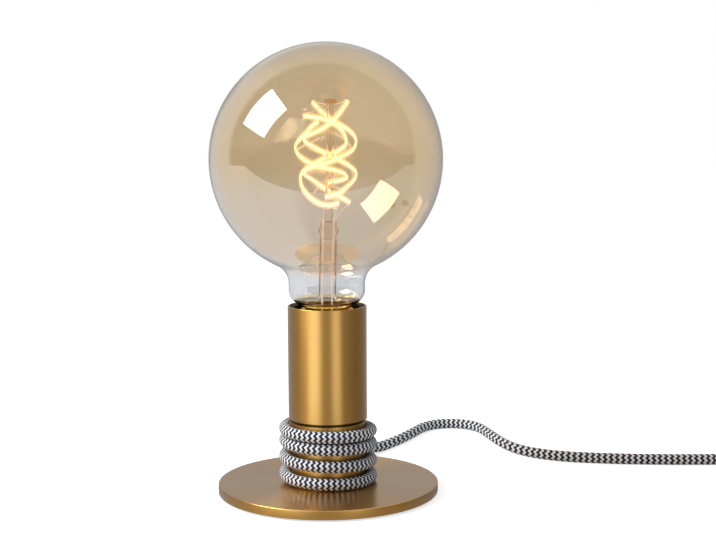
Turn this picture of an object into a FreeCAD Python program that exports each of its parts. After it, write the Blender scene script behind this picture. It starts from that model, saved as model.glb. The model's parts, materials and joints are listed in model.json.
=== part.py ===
"""A bare bulb table lamp: a brass disc with a short spool on it, a textile cord wound four times round
the spool, a brass sleeve that hides the lampholder, and a large globe bulb that screws into it.

The origin is the middle of the foot pad's underside and +Z is up. The viewer stands at -Y, so +X is
to the right and +Y is to the back. All lengths are in millimetres, and all angles in degrees.
"""
import FreeCAD, Part
import math
import os

os.makedirs("parts", exist_ok=True)

V = FreeCAD.Vector
UP = V(0, 0, 1)

# --- driving dimensions -----------------------------------------------------------------------
# foot
pad_radius = 56.0
pad_thickness = 1.0
base_radius = 60.0
base_thickness = 5.0
base_edge_chamfer = 0.4
slide_gap = 0.1            # all round a screw, rod or pin in its hole
seat_gap = 0.3             # between pieces that don't press on each other

# spool that the cord is wound on
spool_radius = 20.5
spool_wall = 1.5
spool_height = 34.3
spool_floor_thickness = 2.2
spool_cap_thickness = 3.0
spool_screw_radius = 2.0
spool_screw_head_radius = 3.7
spool_screw_length = 8.0
spool_screw_circle = 13.0
spool_screw_angles = (-65.0, 55.0, 175.0)

# threaded rod and what it clamps
rod_radius = 5.0
rod_bore_radius = 3.4
rod_reach_up = 9.0         # above the sleeve's floor
rod_reach_down = 1.0       # below the nut
nut_across_flats = 14.0
nut_height = 4.0
lock_washer_radius = 8.0
lock_washer_thickness = 0.8
sleeve_washer_radius = 17.5
sleeve_washer_thickness = 0.5

# sleeve round the lampholder
sleeve_radius = 21.4
sleeve_wall = 1.0
sleeve_height = 62.0
sleeve_floor = 1.5
sleeve_edge_chamfer = 0.35

# lampholder, an E27 screw type
holder_rim_drop = 0.5      # below the sleeve's top edge
holder_rim_wall = 2.4
holder_base_height = 18.0
holder_base_wall = 2.0
holder_base_floor = 4.0
insert_height = 7.0
shell_thickness = 0.5
shell_flange_radius = 16.0
shell_top_drop = 4.5       # below the sleeve's top edge
contact_width = 5.0
contact_thickness = 0.5
terminal_offset = 9.0
terminal_length = 9.0
terminal_width = 5.0
terminal_height = 4.5
terminal_screw_radius = 1.3

# E27 thread: seven turns to the inch, crests and roots of the bulb's cap and the holder's shell
thread_pitch = 3.63
cap_root_radius = 12.15
cap_crest_radius = 13.1
socket_crest_radius = 12.65
socket_root_radius = 13.45
thread_root_width = 2.0
thread_crest_width = 0.5
thread_sink = 0.15         # how far a thread's foot reaches into the wall that carries it

# bulb
globe_radius = 62.5
neck_straight = 3.3874     # straight part of the neck, between the shoulder and the globe's fillet
glass_thickness = 0.9
neck_radius = 20.7
neck_fillet = 11.0
shoulder_radius = 8.0
shoulder_above_sleeve = 8.7
throat_radius = 12.2
cap_top_drop = 1.8         # below the sleeve's top edge
cap_shell_length = 22.5
cap_wall = 0.35
cap_lip_radius = 14.1
cap_lip_height = 3.0
insulator_height = 3.6
insulator_foot_radius = 5.6
tip_radius = 4.6
tip_height = 1.4
driver_radius = 9.5
driver_thickness = 1.2
driver_drop = 9.0          # below the cap's top edge
capacitor_radius = 3.2
capacitor_height = 6.5

# glass stem and filaments
stem_lean = 1.5            # to the right, as it is sealed in
stem_radius = 4.6
stem_wall = 0.8
stem_top_above_sleeve = 45.5
pinch_height = 10.0
pinch_width = 10.6
pinch_depth = 4.2
rod_glass_radius = 2.0
rod_glass_wall = 0.5
rod_top_above_sleeve = 108.2
button_radius = 3.3
button_height = 2.6
filament_width = 1.9
filament_depth = 1.2
wire_radius = 0.22
lead_in_offset = 2.7

# each filament: the middle of its turns to the right, its radii across and in depth, and its course
# as pairs of an angle round the stem (0 is right, -90 is front) and a height above the sleeve
filament_courses = {
    "filament_1": (2.2, 13.9, 13.9, [
        (-46, 109.7), (-69, 102.9), (-90, 97.6), (-113, 94.4), (-151, 91.2), (-180, 89.1), (-222, 85.8),
        (-262, 81.2), (-288, 78.0), (-315, 75.0), (-360, 70.9), (-405, 65.3), (-435, 61.0), (-460, 59.3)]),
    "filament_2": (2.2, 13.9, 13.9, [
        (-227, 109.3), (-262, 101.6), (-291, 97.2), (-318, 93.8), (-360, 88.2), (-389, 84.0),
        (-429, 80.0), (-450, 77.8), (-473, 76.2), (-505, 74.0), (-540, 70.9), (-582, 67.6),
        (-604, 64.2), (-625, 61.0), (-649, 58.0), (-677, 54.8)]),
    "filament_3": (-1.5, 12.3, 10.9, [
        (-144, 102.0), (-90, 100.3), (-52, 96.8), (-28, 92.9), (0, 88.3), (57, 82.3), (118, 75.8),
        (180, 69.0), (211, 63.4), (242, 58.2), (264, 55.6), (288, 54.9), (312, 56.0)]),
    "filament_4": (-2.6, 13.7, 9.6, [
        (97, 98.8), (110, 96.6), (130, 92.2), (154, 88.5), (180, 85.5), (218, 80.3), (241, 77.6),
        (263, 75.4), (302, 73.3), (332, 71.4), (360, 69.1), (400, 67.2), (438, 65.6)]),
}

# cord: 2 cores in a round textile sheath, and its four turns round the spool
cord_radius = 3.1
core_radius = 1.1
winding_heights = (3.8, 13.0, 22.4, 29.2)   # of each turn's middle above the foot disc
winding_gap = 0.05
lead_height = 4.6          # of the cord's middle above the foot disc where it leaves the spool
lead_bend_radius = 11.0
lead_join_angle = 100.0    # where the cord lies down on the spool, before the lead is turned
lead_turn = -50.0          # of the lead and all that holds it, about the spool
lead_inner_reach = 8.0     # the sheath ends this far right of the spool's middle
bushing_wall = 0.9
bushing_lip = 0.8          # inside the spool
grip_length = 6.0
grip_width = 17.0
grip_height = 9.0
grip_screw_radius = 1.5
grip_screw_spacing = 11.6

# where the cord leaves the top turn, and its way to the put-away coil, as points of its middle
cord_run_points = [
    (-20.6, 11.9, 36.0), (-12.0, 26.6, 35.4), (-3.2, 42.0, 30.5), (6.8, 57.0, 19.5),
    (16.8, 70.5, 7.4), (27.6, 84.5, 3.1), (40.0, 103.0, 3.1), (50.5, 123.5, 3.1),
    (59.0, 143.0, 3.1), (70.5, 151.6, 3.1), (84.5, 150.6, 3.1), (94.5, 141.0, 3.1),
    (99.5, 121.5, 3.1), (104.5, 99.0, 3.1), (114.0, 77.0, 3.1), (134.0, 62.5, 3.1),
    (162.0, 56.5, 3.1), (192.0, 53.6, 3.1), (224.0, 53.0, 3.1), (255.0, 54.4, 3.3),
    (285.0, 54.0, 3.6),
]
coil_centre = (285.0, 91.1)
coil_radius = 34.0         # at the middle of its turns
coil_tie_thickness = 0.5
coil_tie_width = 9.0
cord_link_points = [
    (285.0, 57.1, 9.0), (298.0, 57.3, 8.6), (309.6, 51.0, 7.0), (316.4, 39.6, 5.8), (316.4, 26.5, 5.6),
]
cord_tail_points = [
    (316.4, -30.5, 5.6), (316.4, -62.4, 5.2), (310.4, -72.8, 5.6), (299.8, -78.6, 6.85),
    (287.8, -78.6, 6.85),
]

# hand switch on the cord, with the cord's entry in the middle of its short ends
switch_middle = (316.4, -2.0)
switch_length = 57.0
switch_width = 22.0
switch_base_height = 7.6
switch_cover_height = 6.6
switch_wall = 1.8
switch_corner = 6.0
cord_entry_height = 5.6
rocker_length = 21.0
rocker_width = 10.0
rocker_top_radius = 46.0
rocker_tilt = 7.0          # each way; it rests tilted, as switched on
rocker_pin_radius = 1.5
rocker_clearance = 0.4
switch_screw_radius = 1.4
switch_screw_offset = 22.5

# two-pin flat plug, lying on its broad side, with a free way to its pins past the foot disc
plug_front = (249.3, -78.6)
plug_length = 26.0
plug_width = 35.3
plug_height = 13.7
plug_corner = 6.5
plug_boot_length = 18.0
plug_boot_tip_radius = 4.2
plug_boot_root_radius = 6.2
pin_radius = 2.0
pin_length = 19.0
pin_bare_length = 9.0
pin_sheath_relief = 0.25   # the sheath is this much slimmer than the bare pin
pin_sheath_wall = 0.35
pin_spacing = 18.6
pin_root = 6.0             # inside the plug

# --- heights that follow ----------------------------------------------------------------------
base_top = pad_thickness + base_thickness
spool_top = base_top + spool_height
sleeve_bottom = spool_top + sleeve_washer_thickness
sleeve_top = sleeve_bottom + sleeve_height
sleeve_floor_top = sleeve_bottom + sleeve_floor
sleeve_inner_radius = sleeve_radius - sleeve_wall
holder_radius = sleeve_inner_radius - seat_gap
holder_top = sleeve_top - holder_rim_drop
holder_joint = sleeve_floor_top + holder_base_height
insert_top = holder_joint + insert_height
shell_top = sleeve_top - shell_top_drop
cap_top = sleeve_top - cap_top_drop
cap_shell_bottom = cap_top - cap_shell_length
insulator_bottom = cap_shell_bottom - insulator_height
tip_bottom = insulator_bottom - tip_height
globe_centre = (sleeve_top + shoulder_above_sleeve + neck_straight
                + math.sqrt((globe_radius + neck_fillet) ** 2 - (neck_radius + neck_fillet) ** 2))
spool_floor_top = base_top + spool_floor_thickness
spool_inner_radius = spool_radius - spool_wall
nut_bottom = spool_top - spool_cap_thickness - lock_washer_thickness - nut_height
winding_radius = spool_radius + cord_radius + winding_gap
lead_middle_z = base_top + lead_height


# --- small helpers ----------------------------------------------------------------------------
def cylinder(radius, bottom, top, x=0.0, y=0.0):
    return Part.makeCylinder(radius, top - bottom, V(x, y, bottom))


def tube(outer, inner, bottom, top, x=0.0, y=0.0):
    return cylinder(outer, bottom, top, x, y).cut(cylinder(inner, bottom - 1, top + 1, x, y))


def box(low, high):
    return Part.makeBox(high[0] - low[0], high[1] - low[1], high[2] - low[2], V(*low))


def turned(points):
    """A solid turned about Z from (radius, height) corners."""
    loop = [V(r, 0, z) for r, z in points] + [V(points[0][0], 0, points[0][1])]
    return Part.Face(Part.makePolygon(loop)).revolve(V(0, 0, 0), UP, 360)


def turned_edges(edges):
    """A solid turned about Z from edges that close in the XZ plane."""
    return Part.Face(Part.Wire(Part.__sortEdges__(edges))).revolve(V(0, 0, 0), UP, 360)


def on_circle(radius, angle, z=0.0):
    a = math.radians(angle)
    return V(radius * math.cos(a), radius * math.sin(a), z)


def arc(centre, radius, start, end):
    """An arc in the XZ plane between two angles."""
    middle = (start + end) / 2
    at = [V(centre[0] + radius * math.cos(math.radians(a)), 0,
            centre[1] + radius * math.sin(math.radians(a))) for a in (start, middle, end)]
    return Part.Arc(*at).toShape()


def line(a, b):
    return Part.LineSegment(V(a[0], 0, a[1]), V(b[0], 0, b[1])).toShape()


def ends_of(edge):
    return edge.valueAt(edge.FirstParameter), edge.valueAt(edge.LastParameter)


def routed_wire(points, share=0.45, radii=None):
    """Straight runs joined by tangent arcs, each as large as share of its shorter run allows."""
    points = [V(*p) for p in points]
    edges, start = [], points[0]
    for before, corner, after in zip(points, points[1:], points[2:]):
        back, ahead = before - corner, after - corner
        turn = math.pi - back.getAngle(ahead)
        trim = share * min(back.Length, ahead.Length)
        radius = trim / math.tan(turn / 2)
        if radii is not None:
            radii.append(radius)
        into = corner + back.normalize() * trim
        out = corner + ahead.normalize() * trim
        inward = (back + ahead).normalize()
        middle = corner + inward * (radius / math.cos(turn / 2) - radius)
        edges.append(Part.LineSegment(start, into).toShape())
        edges.append(Part.Arc(into, middle, out).toShape())
        start = out
    edges.append(Part.LineSegment(start, points[-1]).toShape())
    return Part.Wire(edges)


def swept(wire, radius):
    """A round solid along a wire."""
    first = wire.Edges[0]
    start, heading = first.valueAt(first.FirstParameter), first.tangentAt(first.FirstParameter)
    section = Part.Wire(Part.makeCircle(radius, start, heading))
    return wire.makePipeShell([section], True, False)


def helical_ridge(root, crest, bottom, turns, inward=False):
    """A thread ridge about Z. It stands out of a wall at radius root, or into a bore if inward."""
    foot = root + thread_sink if inward else root - thread_sink
    half_root, half_crest = thread_root_width / 2, thread_crest_width / 2
    section = Part.makePolygon([V(foot, 0, bottom - half_root), V(crest, 0, bottom - half_crest),
                                V(crest, 0, bottom + half_crest), V(foot, 0, bottom + half_root),
                                V(foot, 0, bottom - half_root)])
    path = Part.makeHelix(thread_pitch, thread_pitch * turns, root)
    path.translate(V(0, 0, bottom))
    return Part.Wire(path.Edges).makePipeShell([section], True, True)


def leaned(shape):
    """The shape as it stands on the leaning glass stem."""
    leaning = shape.copy()
    leaning.rotate(V(0, 0, sleeve_top), V(0, 1, 0), stem_lean)
    return leaning


def rounded_block(length, width, bottom, top, corner):
    """A block about Z with round upright corners, its length along Y."""
    block = box((-width / 2, -length / 2, bottom), (width / 2, length / 2, top))
    upright = [e for e in block.Edges if abs(e.tangentAt(e.FirstParameter).z) > 0.9]
    return block.makeFillet(corner, upright)


def aimed(shape):
    """The shape as it stands once the lead is turned to where the cord leaves the spool."""
    turned_shape = shape.copy()
    turned_shape.rotate(V(0, 0, 0), UP, lead_turn)
    return turned_shape


def moved(shape, x, y, z=0.0):
    there = shape.copy()
    there.translate(V(x, y, z))
    return there


# --- foot and spool ---------------------------------------------------------------------------
def spool_screw_places():
    return [on_circle(spool_screw_circle, a) for a in spool_screw_angles]


def countersunk_screw(x, y, grow=0.0):
    """A flat-headed screw from below, or the hole for it when it grows."""
    head, shank = spool_screw_head_radius + grow, spool_screw_radius + grow
    cone = Part.makeCone(head, shank, head - shank, V(x, y, pad_thickness))
    return cone.fuse(cylinder(shank, pad_thickness, pad_thickness + spool_screw_length, x, y))


def make_foot():
    pad = cylinder(pad_radius, 0, pad_thickness)
    c = base_edge_chamfer
    disc = turned([(0, pad_thickness), (base_radius - c, pad_thickness),
                   (base_radius, pad_thickness + c), (base_radius, base_top - c),
                   (base_radius - c, base_top), (0, base_top)])
    floor = cylinder(spool_inner_radius, base_top, spool_floor_top)
    screws = []
    for at in spool_screw_places():
        hole = countersunk_screw(at.x, at.y, slide_gap)
        disc, floor = disc.cut(hole), floor.cut(hole)
        screws.append(countersunk_screw(at.x, at.y))
    for side in (-1, 1):
        x, y = grip_middle().x, grip_middle().y + side * grip_screw_spacing / 2
        hole = cylinder(grip_screw_radius + slide_gap, base_top, spool_floor_top, x, y)
        floor = floor.cut(aimed(hole))
    floor = floor.cut(aimed(swept(lead_wire(), cord_radius + bushing_wall + slide_gap)))
    return {"base_pad": pad, "base_disc": disc, "spool_floor": floor,
            "base_screws": Part.makeCompound(screws)}


def lead_arc_centre():
    return on_circle(winding_radius - lead_bend_radius, lead_join_angle, lead_middle_z)


def lead_wire():
    """The cord's middle from the sheath's end inside the spool to where it lies on the spool."""
    centre = lead_arc_centre()
    turn_in = centre + V(0, -lead_bend_radius, 0)
    half_way = centre + on_circle(lead_bend_radius, (lead_join_angle + 270) / 2)
    lands = centre + on_circle(lead_bend_radius, lead_join_angle)
    sheath_end = V(lead_inner_reach, turn_in.y, lead_middle_z)
    return Part.Wire([Part.LineSegment(sheath_end, turn_in).toShape(),
                      Part.Arc(turn_in, half_way, lands).toShape()])


def grip_middle():
    centre = lead_arc_centre()
    return V(centre.x + grip_length / 2 + 2 * seat_gap, centre.y - lead_bend_radius, 0)


def make_spool():
    hole = swept(lead_wire(), cord_radius + bushing_wall + slide_gap)
    shell = tube(spool_radius, spool_inner_radius, base_top, spool_top).cut(hole)
    bushing = swept(lead_wire(), cord_radius + bushing_wall)
    bushing = bushing.cut(swept(lead_wire(), cord_radius + slide_gap / 2))
    bushing = bushing.common(tube(spool_radius, spool_inner_radius - bushing_lip, base_top, spool_top))
    cap = tube(spool_inner_radius, rod_radius + slide_gap, spool_top - spool_cap_thickness, spool_top)
    return {"spool_tube": aimed(shell), "cord_bushing": aimed(bushing), "spool_cap": cap}


def make_cord_grip():
    at = grip_middle()
    half = (grip_length / 2, grip_width / 2)
    block = box((at.x - half[0], at.y - half[1], spool_floor_top),
                (at.x + half[0], at.y + half[1], spool_floor_top + grip_height))
    block = block.cut(swept(lead_wire(), cord_radius + slide_gap / 2))
    screws = []
    for side in (-1, 1):
        y = at.y + side * grip_screw_spacing / 2
        top = spool_floor_top + grip_height
        shank = cylinder(grip_screw_radius, base_top + seat_gap, top, at.x, y)
        block = block.cut(cylinder(grip_screw_radius + slide_gap, spool_floor_top, top, at.x, y))
        head = cylinder(1.8 * grip_screw_radius, top, top + grip_screw_radius, at.x, y)
        screws.append(shank.fuse(head))
    return {"cord_grip": aimed(block), "cord_grip_screws": aimed(Part.makeCompound(screws))}


def make_clamped_rod():
    rod_bottom, rod_top = nut_bottom - rod_reach_down, sleeve_floor_top + rod_reach_up
    rod = tube(rod_radius, rod_bore_radius, rod_bottom, rod_top)
    corner_radius = nut_across_flats / math.sqrt(3)
    corners = [on_circle(corner_radius, 60 * k, nut_bottom) for k in range(7)]
    nut = Part.Face(Part.makePolygon(corners)).extrude(V(0, 0, nut_height))
    nut = nut.cut(cylinder(rod_radius + slide_gap, nut_bottom - 1, nut_bottom + nut_height + 1))
    washer_bottom = nut_bottom + nut_height
    washer = tube(lock_washer_radius, rod_radius + slide_gap, washer_bottom,
                  washer_bottom + lock_washer_thickness)
    sleeve_washer = tube(sleeve_washer_radius, rod_radius + slide_gap, spool_top, sleeve_bottom)
    return {"threaded_rod": rod, "rod_nut": nut, "lock_washer": washer,
            "sleeve_washer": sleeve_washer}


# --- sleeve and lampholder --------------------------------------------------------------------
def make_sleeve():
    c = sleeve_edge_chamfer
    hole = rod_radius + slide_gap
    return {"holder_sleeve": turned([
        (hole, sleeve_bottom), (sleeve_radius - c, sleeve_bottom), (sleeve_radius, sleeve_bottom + c),
        (sleeve_radius, sleeve_top - c), (sleeve_radius - c, sleeve_top),
        (sleeve_inner_radius, sleeve_top), (sleeve_inner_radius, sleeve_floor_top),
        (hole, sleeve_floor_top)])}


def make_lampholder():
    bottom = sleeve_floor_top
    rod_hole = rod_radius + slide_gap
    base_inner = holder_radius - 2 * holder_base_wall
    base = turned([(rod_hole, bottom), (holder_radius - holder_base_wall, bottom),
                   (holder_radius, bottom + holder_base_wall), (holder_radius, holder_joint),
                   (base_inner, holder_joint), (base_inner, bottom + holder_base_floor),
                   (rod_hole, bottom + holder_base_floor)])
    rim_inner = holder_radius - holder_rim_wall
    chamfer = holder_rim_wall / 3
    skirt = turned([(rim_inner, holder_joint), (holder_radius, holder_joint),
                    (holder_radius, holder_top - chamfer), (holder_radius - chamfer, holder_top),
                    (rim_inner + chamfer, holder_top), (rim_inner, holder_top - chamfer)])
    insert = cylinder(rim_inner - slide_gap, holder_joint, insert_top)
    slot_half = contact_width / 2 + slide_gap
    terminals, screws = [], []
    for side in (-1, 1):
        x = side * terminal_offset
        block = box((x - terminal_width / 2, -terminal_length / 2, holder_joint - terminal_height),
                    (x + terminal_width / 2, terminal_length / 2, holder_joint))
        screw_z = holder_joint - terminal_height / 2
        hole = Part.makeCylinder(terminal_screw_radius + slide_gap, terminal_width,
                                 V(x + side * terminal_width / 2, -terminal_length / 4, screw_z),
                                 V(-side, 0, 0))
        wire_hole = Part.makeCylinder(core_radius + slide_gap, terminal_height,
                                      V(x, terminal_length / 4, holder_joint - terminal_height), UP)
        terminals.append(block.cut(hole).cut(wire_hole))
        screws.append(Part.makeCylinder(terminal_screw_radius, terminal_width,
                                        V(x + side * terminal_width / 2, -terminal_length / 4, screw_z),
                                        V(-side, 0, 0)))
    insert = insert.cut(box((-slot_half, -slot_half, contact_seat()),
                            (rim_inner, slot_half, insert_top + 1)))
    flange = tube(shell_flange_radius, cap_root_radius - contact_width, insert_top,
                  insert_top + shell_thickness)
    flange = flange.cut(box((-slot_half - shell_thickness, -slot_half, insert_top - 1),
                            (rim_inner, slot_half, insert_top + 1)))
    wall = tube(socket_root_radius + shell_thickness, socket_root_radius, insert_top, shell_top)
    ridge_top = cap_top - cap_lip_height - 1.1
    ridge_turns = (ridge_top - socket_thread_start()) / thread_pitch
    ridge = helical_ridge(socket_root_radius, socket_crest_radius, socket_thread_start(), ridge_turns,
                          inward=True)
    return {"holder_base": base, "holder_skirt": skirt, "holder_insert": insert,
            "screw_shell": wall.fuse(flange).fuse(ridge),
            "terminal_blocks": aimed(Part.makeCompound(terminals)),
            "terminal_screws": aimed(Part.makeCompound(screws))}


def contact_seat():
    """The bottom of the slot that keeps the tongue clear of the screw shell."""
    return insert_top - contact_thickness - 2 * seat_gap


def make_contacts():
    """The sprung tongue under the bulb's tip, and the strip that feeds the screw shell."""
    half, t = contact_width / 2, contact_thickness
    reach = sleeve_inner_radius - holder_rim_wall - 4 * seat_gap
    low = contact_seat()
    tongue_top = tip_bottom - slide_gap / 2
    outline = [V(reach, -half, low), V(reach, -half, low + t), V(reach - contact_width, -half, low + t),
               V(tip_radius, -half, tongue_top), V(-tip_radius / 2, -half, tongue_top),
               V(-tip_radius / 2, -half, tongue_top - t), V(tip_radius, -half, tongue_top - t),
               V(reach - contact_width, -half, low), V(reach, -half, low)]
    tongue = Part.Face(Part.makePolygon(outline)).extrude(V(0, contact_width, 0))
    side = box((-shell_flange_radius, -half, insert_top + shell_thickness),
               (-socket_root_radius - shell_thickness, half, insert_top + shell_thickness + t))
    return {"centre_contact": tongue, "side_contact": side}


def make_cores():
    """The cord's two cores, from the sheath's end up through the rod to their terminals."""
    z, y = lead_middle_z, grip_middle().y
    x, apart = lead_inner_reach, core_radius + 0.15
    rod_foot = nut_bottom - rod_reach_down
    rod_head = sleeve_floor_top + rod_reach_up
    terminal_foot = holder_joint - terminal_height
    cores = {}
    for name, side in (("core_neutral", -1), ("core_live", 1)):
        end_x = side * terminal_offset
        points = [(x, y + side * apart, z), (x + 4.5, y + side * apart, z),
                  (x + 7.5, y + side * apart, z + 5), (x + 4.5, side * apart, z + 10.5),
                  (x - 2, side * apart, rod_foot - 6), (side * apart, side * apart, rod_foot - 3),
                  (side * apart, side * apart, rod_head + 2),
                  (0.8 * end_x, terminal_length / 8, terminal_foot - 4),
                  (end_x, terminal_length / 4, terminal_foot - 1.5),
                  (end_x, terminal_length / 4, holder_joint - 1)]
        cores[name] = aimed(swept(routed_wire(points), core_radius))
    return cores


# --- bulb -------------------------------------------------------------------------------------
def cap_thread_start():
    return cap_shell_bottom + thread_root_width


def socket_thread_start():
    """Half a pitch off the cap's thread, so that the ridges lie between each other."""
    return cap_thread_start() + thread_pitch / 2


def globe_outline(inset):
    """The bulb's outline from the top of the globe to the throat, moved in by inset."""
    globe, fillet = globe_radius - inset, neck_fillet + inset
    shoulder, throat, neck = shoulder_radius - inset, throat_radius - inset, neck_radius - inset
    fillet_x = neck_radius + neck_fillet
    fillet_drop = math.sqrt((globe_radius + neck_fillet) ** 2 - fillet_x ** 2)
    fillet_z = globe_centre - fillet_drop
    meet = -math.degrees(math.atan2(fillet_drop, fillet_x))
    shoulder_x = neck_radius - shoulder_radius
    shoulder_z = sleeve_top + shoulder_above_sleeve
    end_z = shoulder_z - math.sqrt(shoulder ** 2 - (throat - shoulder_x) ** 2)
    low_angle = math.degrees(math.atan2(end_z - shoulder_z, throat - shoulder_x))
    edges = [arc((0, globe_centre), globe, 90, meet), arc((fillet_x, fillet_z), fillet, meet + 180, 180)]
    if fillet_z - shoulder_z > 0.01:
        edges.append(line((neck, fillet_z), (neck, shoulder_z)))
    edges.append(arc((shoulder_x, shoulder_z), shoulder, 0, low_angle))
    return edges, (throat, end_z)


def make_globe():
    throat_bottom = cap_top - cap_lip_height
    outer, (outer_r, outer_z) = globe_outline(0)
    inner, (inner_r, inner_z) = globe_outline(glass_thickness)
    edges = outer + inner + [
        line((outer_r, outer_z), (outer_r, throat_bottom)),
        line((outer_r, throat_bottom), (inner_r, throat_bottom)),
        line((inner_r, throat_bottom), (inner_r, inner_z)),
        line((0, globe_centre + globe_radius), (0, globe_centre + globe_radius - glass_thickness))]
    return {"bulb_globe": turned_edges(edges)}


def make_cap():
    lip_bottom = cap_top - cap_lip_height
    inner = cap_root_radius - cap_wall
    shell = turned([(inner, cap_shell_bottom), (cap_root_radius, cap_shell_bottom),
                    (cap_root_radius, lip_bottom - 1), (cap_crest_radius, lip_bottom),
                    (cap_lip_radius, cap_top), (cap_lip_radius - cap_wall, cap_top),
                    (cap_crest_radius - cap_wall, lip_bottom), (inner, lip_bottom - 1)])
    turns = (lip_bottom - 1 - thread_root_width - cap_thread_start()) / thread_pitch
    ridge = helical_ridge(cap_root_radius, cap_crest_radius, cap_thread_start(), turns)
    cement = turned([(throat_radius + slide_gap / 2, lip_bottom), (cap_crest_radius - cap_wall, lip_bottom),
                     (cap_lip_radius - cap_wall, cap_top), (throat_radius + slide_gap / 2, cap_top)])
    insulator = turned([(0, insulator_bottom), (insulator_foot_radius, insulator_bottom),
                        (cap_root_radius - 1, cap_shell_bottom), (0, cap_shell_bottom)])
    plug = cylinder(inner - slide_gap / 2, cap_shell_bottom, cap_shell_bottom + tip_height)
    tip_top_radius = insulator_foot_radius - 2 * seat_gap
    tip = Part.makeCone(tip_radius - 1, tip_top_radius, tip_height, V(0, 0, tip_bottom))
    return {"bulb_cap": shell.fuse(ridge), "bulb_cement": cement,
            "bulb_insulator": insulator.fuse(plug), "bulb_contact": tip}


def make_driver():
    """The small circuit board in the cap, which feeds the filaments."""
    bottom = cap_top - driver_drop
    board = cylinder(driver_radius, bottom, bottom + driver_thickness)
    floor = cap_shell_bottom + tip_height
    post = cylinder(capacitor_radius, bottom - capacitor_height, bottom, 0, capacitor_radius + 1)
    chip = box((-4, -6, bottom - 1.6), (4, -2, bottom))
    legs = [cylinder(1.2, floor, bottom, s * (driver_radius - 2), 0) for s in (-1, 1)]
    return {"driver_board": board, "driver_parts": Part.makeCompound([post, chip]),
            "driver_posts": Part.makeCompound(legs)}


def make_stem():
    """The flared glass tube, the pinch with the lead-in wires, and the hollow rod above it."""
    flare_bottom = cap_top - cap_lip_height
    flare_radius = throat_radius - glass_thickness - slide_gap
    flare_height = sleeve_top + 5
    pinch_bottom = sleeve_top + stem_top_above_sleeve - pinch_height
    pinch_top = sleeve_top + stem_top_above_sleeve
    inner = stem_radius - stem_wall
    flare = turned([(flare_radius, flare_bottom), (stem_radius, flare_height),
                    (stem_radius, pinch_bottom), (inner, pinch_bottom), (inner, flare_height),
                    (flare_radius - stem_wall, flare_bottom)])
    pinch = box((-pinch_width / 2, -pinch_depth / 2, pinch_bottom),
                (pinch_width / 2, pinch_depth / 2, pinch_top))
    pinch = pinch.makeFillet(pinch_depth / 2.2, [e for e in pinch.Edges
                                                if abs(e.tangentAt(e.FirstParameter).z) > 0.9])
    pinch = pinch.cut(lead_in_solids(slide_gap / 4))
    rod_top = sleeve_top + rod_top_above_sleeve
    rod = tube(rod_glass_radius, rod_glass_radius - rod_glass_wall, pinch_top, rod_top)
    button = cylinder(button_radius, rod_top, rod_top + button_height)
    rim = [e for e in button.Edges if e.Length > 1 and abs(e.tangentAt(e.FirstParameter).z) < 0.1]
    button = button.makeFillet(button_height / 2.5, rim)
    return {"bulb_stem": leaned(flare), "stem_pinch": leaned(pinch), "stem_rod": leaned(rod),
            "stem_button": leaned(button)}


def lead_in_solids(grow=0.0):
    bottom = cap_top - driver_drop + driver_thickness + slide_gap
    top = sleeve_top + stem_top_above_sleeve + 1
    return Part.makeCompound([cylinder(2 * wire_radius + grow, bottom, top, s * lead_in_offset, 0)
                              for s in (-1, 1)])


def filament_points(course):
    middle, across, deep, keys = filament_courses[course]
    return [V(middle + across * math.cos(math.radians(a)), deep * math.sin(math.radians(a)),
              sleeve_top + z) for a, z in filled_in(keys)]


def filled_in(keys, step=22.5):
    """The course's angles at most step apart, with heights on a smooth curve through the keys."""
    spans = list(zip(keys, keys[1:]))
    slopes = [(b[1] - a[1]) / (b[0] - a[0]) for a, b in spans]
    tangents = [slopes[0]] + [(p + q) / 2 for p, q in zip(slopes, slopes[1:])] + [slopes[-1]]
    found = []
    for (a, b), m0, m1 in zip(spans, tangents, tangents[1:]):
        count = max(1, math.ceil(abs(b[0] - a[0]) / step))
        for k in range(count):
            t, width = k / count, b[0] - a[0]
            height = ((2 * t ** 3 - 3 * t ** 2 + 1) * a[1] + (t ** 3 - 2 * t ** 2 + t) * width * m0
                      + (3 * t ** 2 - 2 * t ** 3) * b[1] + (t ** 3 - t ** 2) * width * m1)
            found.append((a[0] + t * width, height))
    return found + [keys[-1]]


def make_filaments():
    made = {}
    for name in filament_courses:
        curve = Part.BSplineCurve()
        curve.interpolate(filament_points(name))
        path = Part.Wire(curve.toShape())
        start, heading = curve.value(0), V(*curve.tangent(0)[0])
        outward = V(start.x, start.y, 0).normalize()
        across = heading.cross(outward).normalize()
        ellipse = Part.Ellipse(start + across * filament_width / 2,
                               start + across.cross(heading).normalize() * filament_depth / 2, start)
        made[name] = path.makePipeShell([Part.Wire(ellipse.toShape())], True, False)
    return made


def held(root, filament_end):
    """A fine wire from its root to just short of a filament's end."""
    run = filament_end - root
    short_of_it = root + run * (1 - 0.5 * filament_width / run.Length)
    return swept(Part.Wire(Part.LineSegment(root, short_of_it).toShape()), wire_radius)


def make_wires():
    """Fine wires that hold the filaments: from the rod's button above and from the pinch below."""
    holders = []
    below_button = sleeve_top + rod_top_above_sleeve - 1.5 * wire_radius
    button = leaned(Part.Vertex(V(0, 0, below_button))).Point
    for name in filament_courses:
        top = filament_points(name)[0]
        outward = (V(top.x, top.y, 0) - V(button.x, button.y, 0)).normalize()
        holders.append(held(button + outward * (rod_glass_radius + 2 * wire_radius), top))
    lead_top = sleeve_top + stem_top_above_sleeve + 1
    for side, names in ((-1, ("filament_1", "filament_4")), (1, ("filament_3", "filament_2"))):
        for name, nudge in zip(names, (-1, 1)):
            root = leaned(Part.Vertex(V(side * lead_in_offset, 2 * nudge * wire_radius, lead_top))).Point
            holders.append(held(root, filament_points(name)[-1]))
    return {"filament_wires": Part.makeCompound(holders), "lead_in_wires": leaned(lead_in_solids())}


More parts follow.
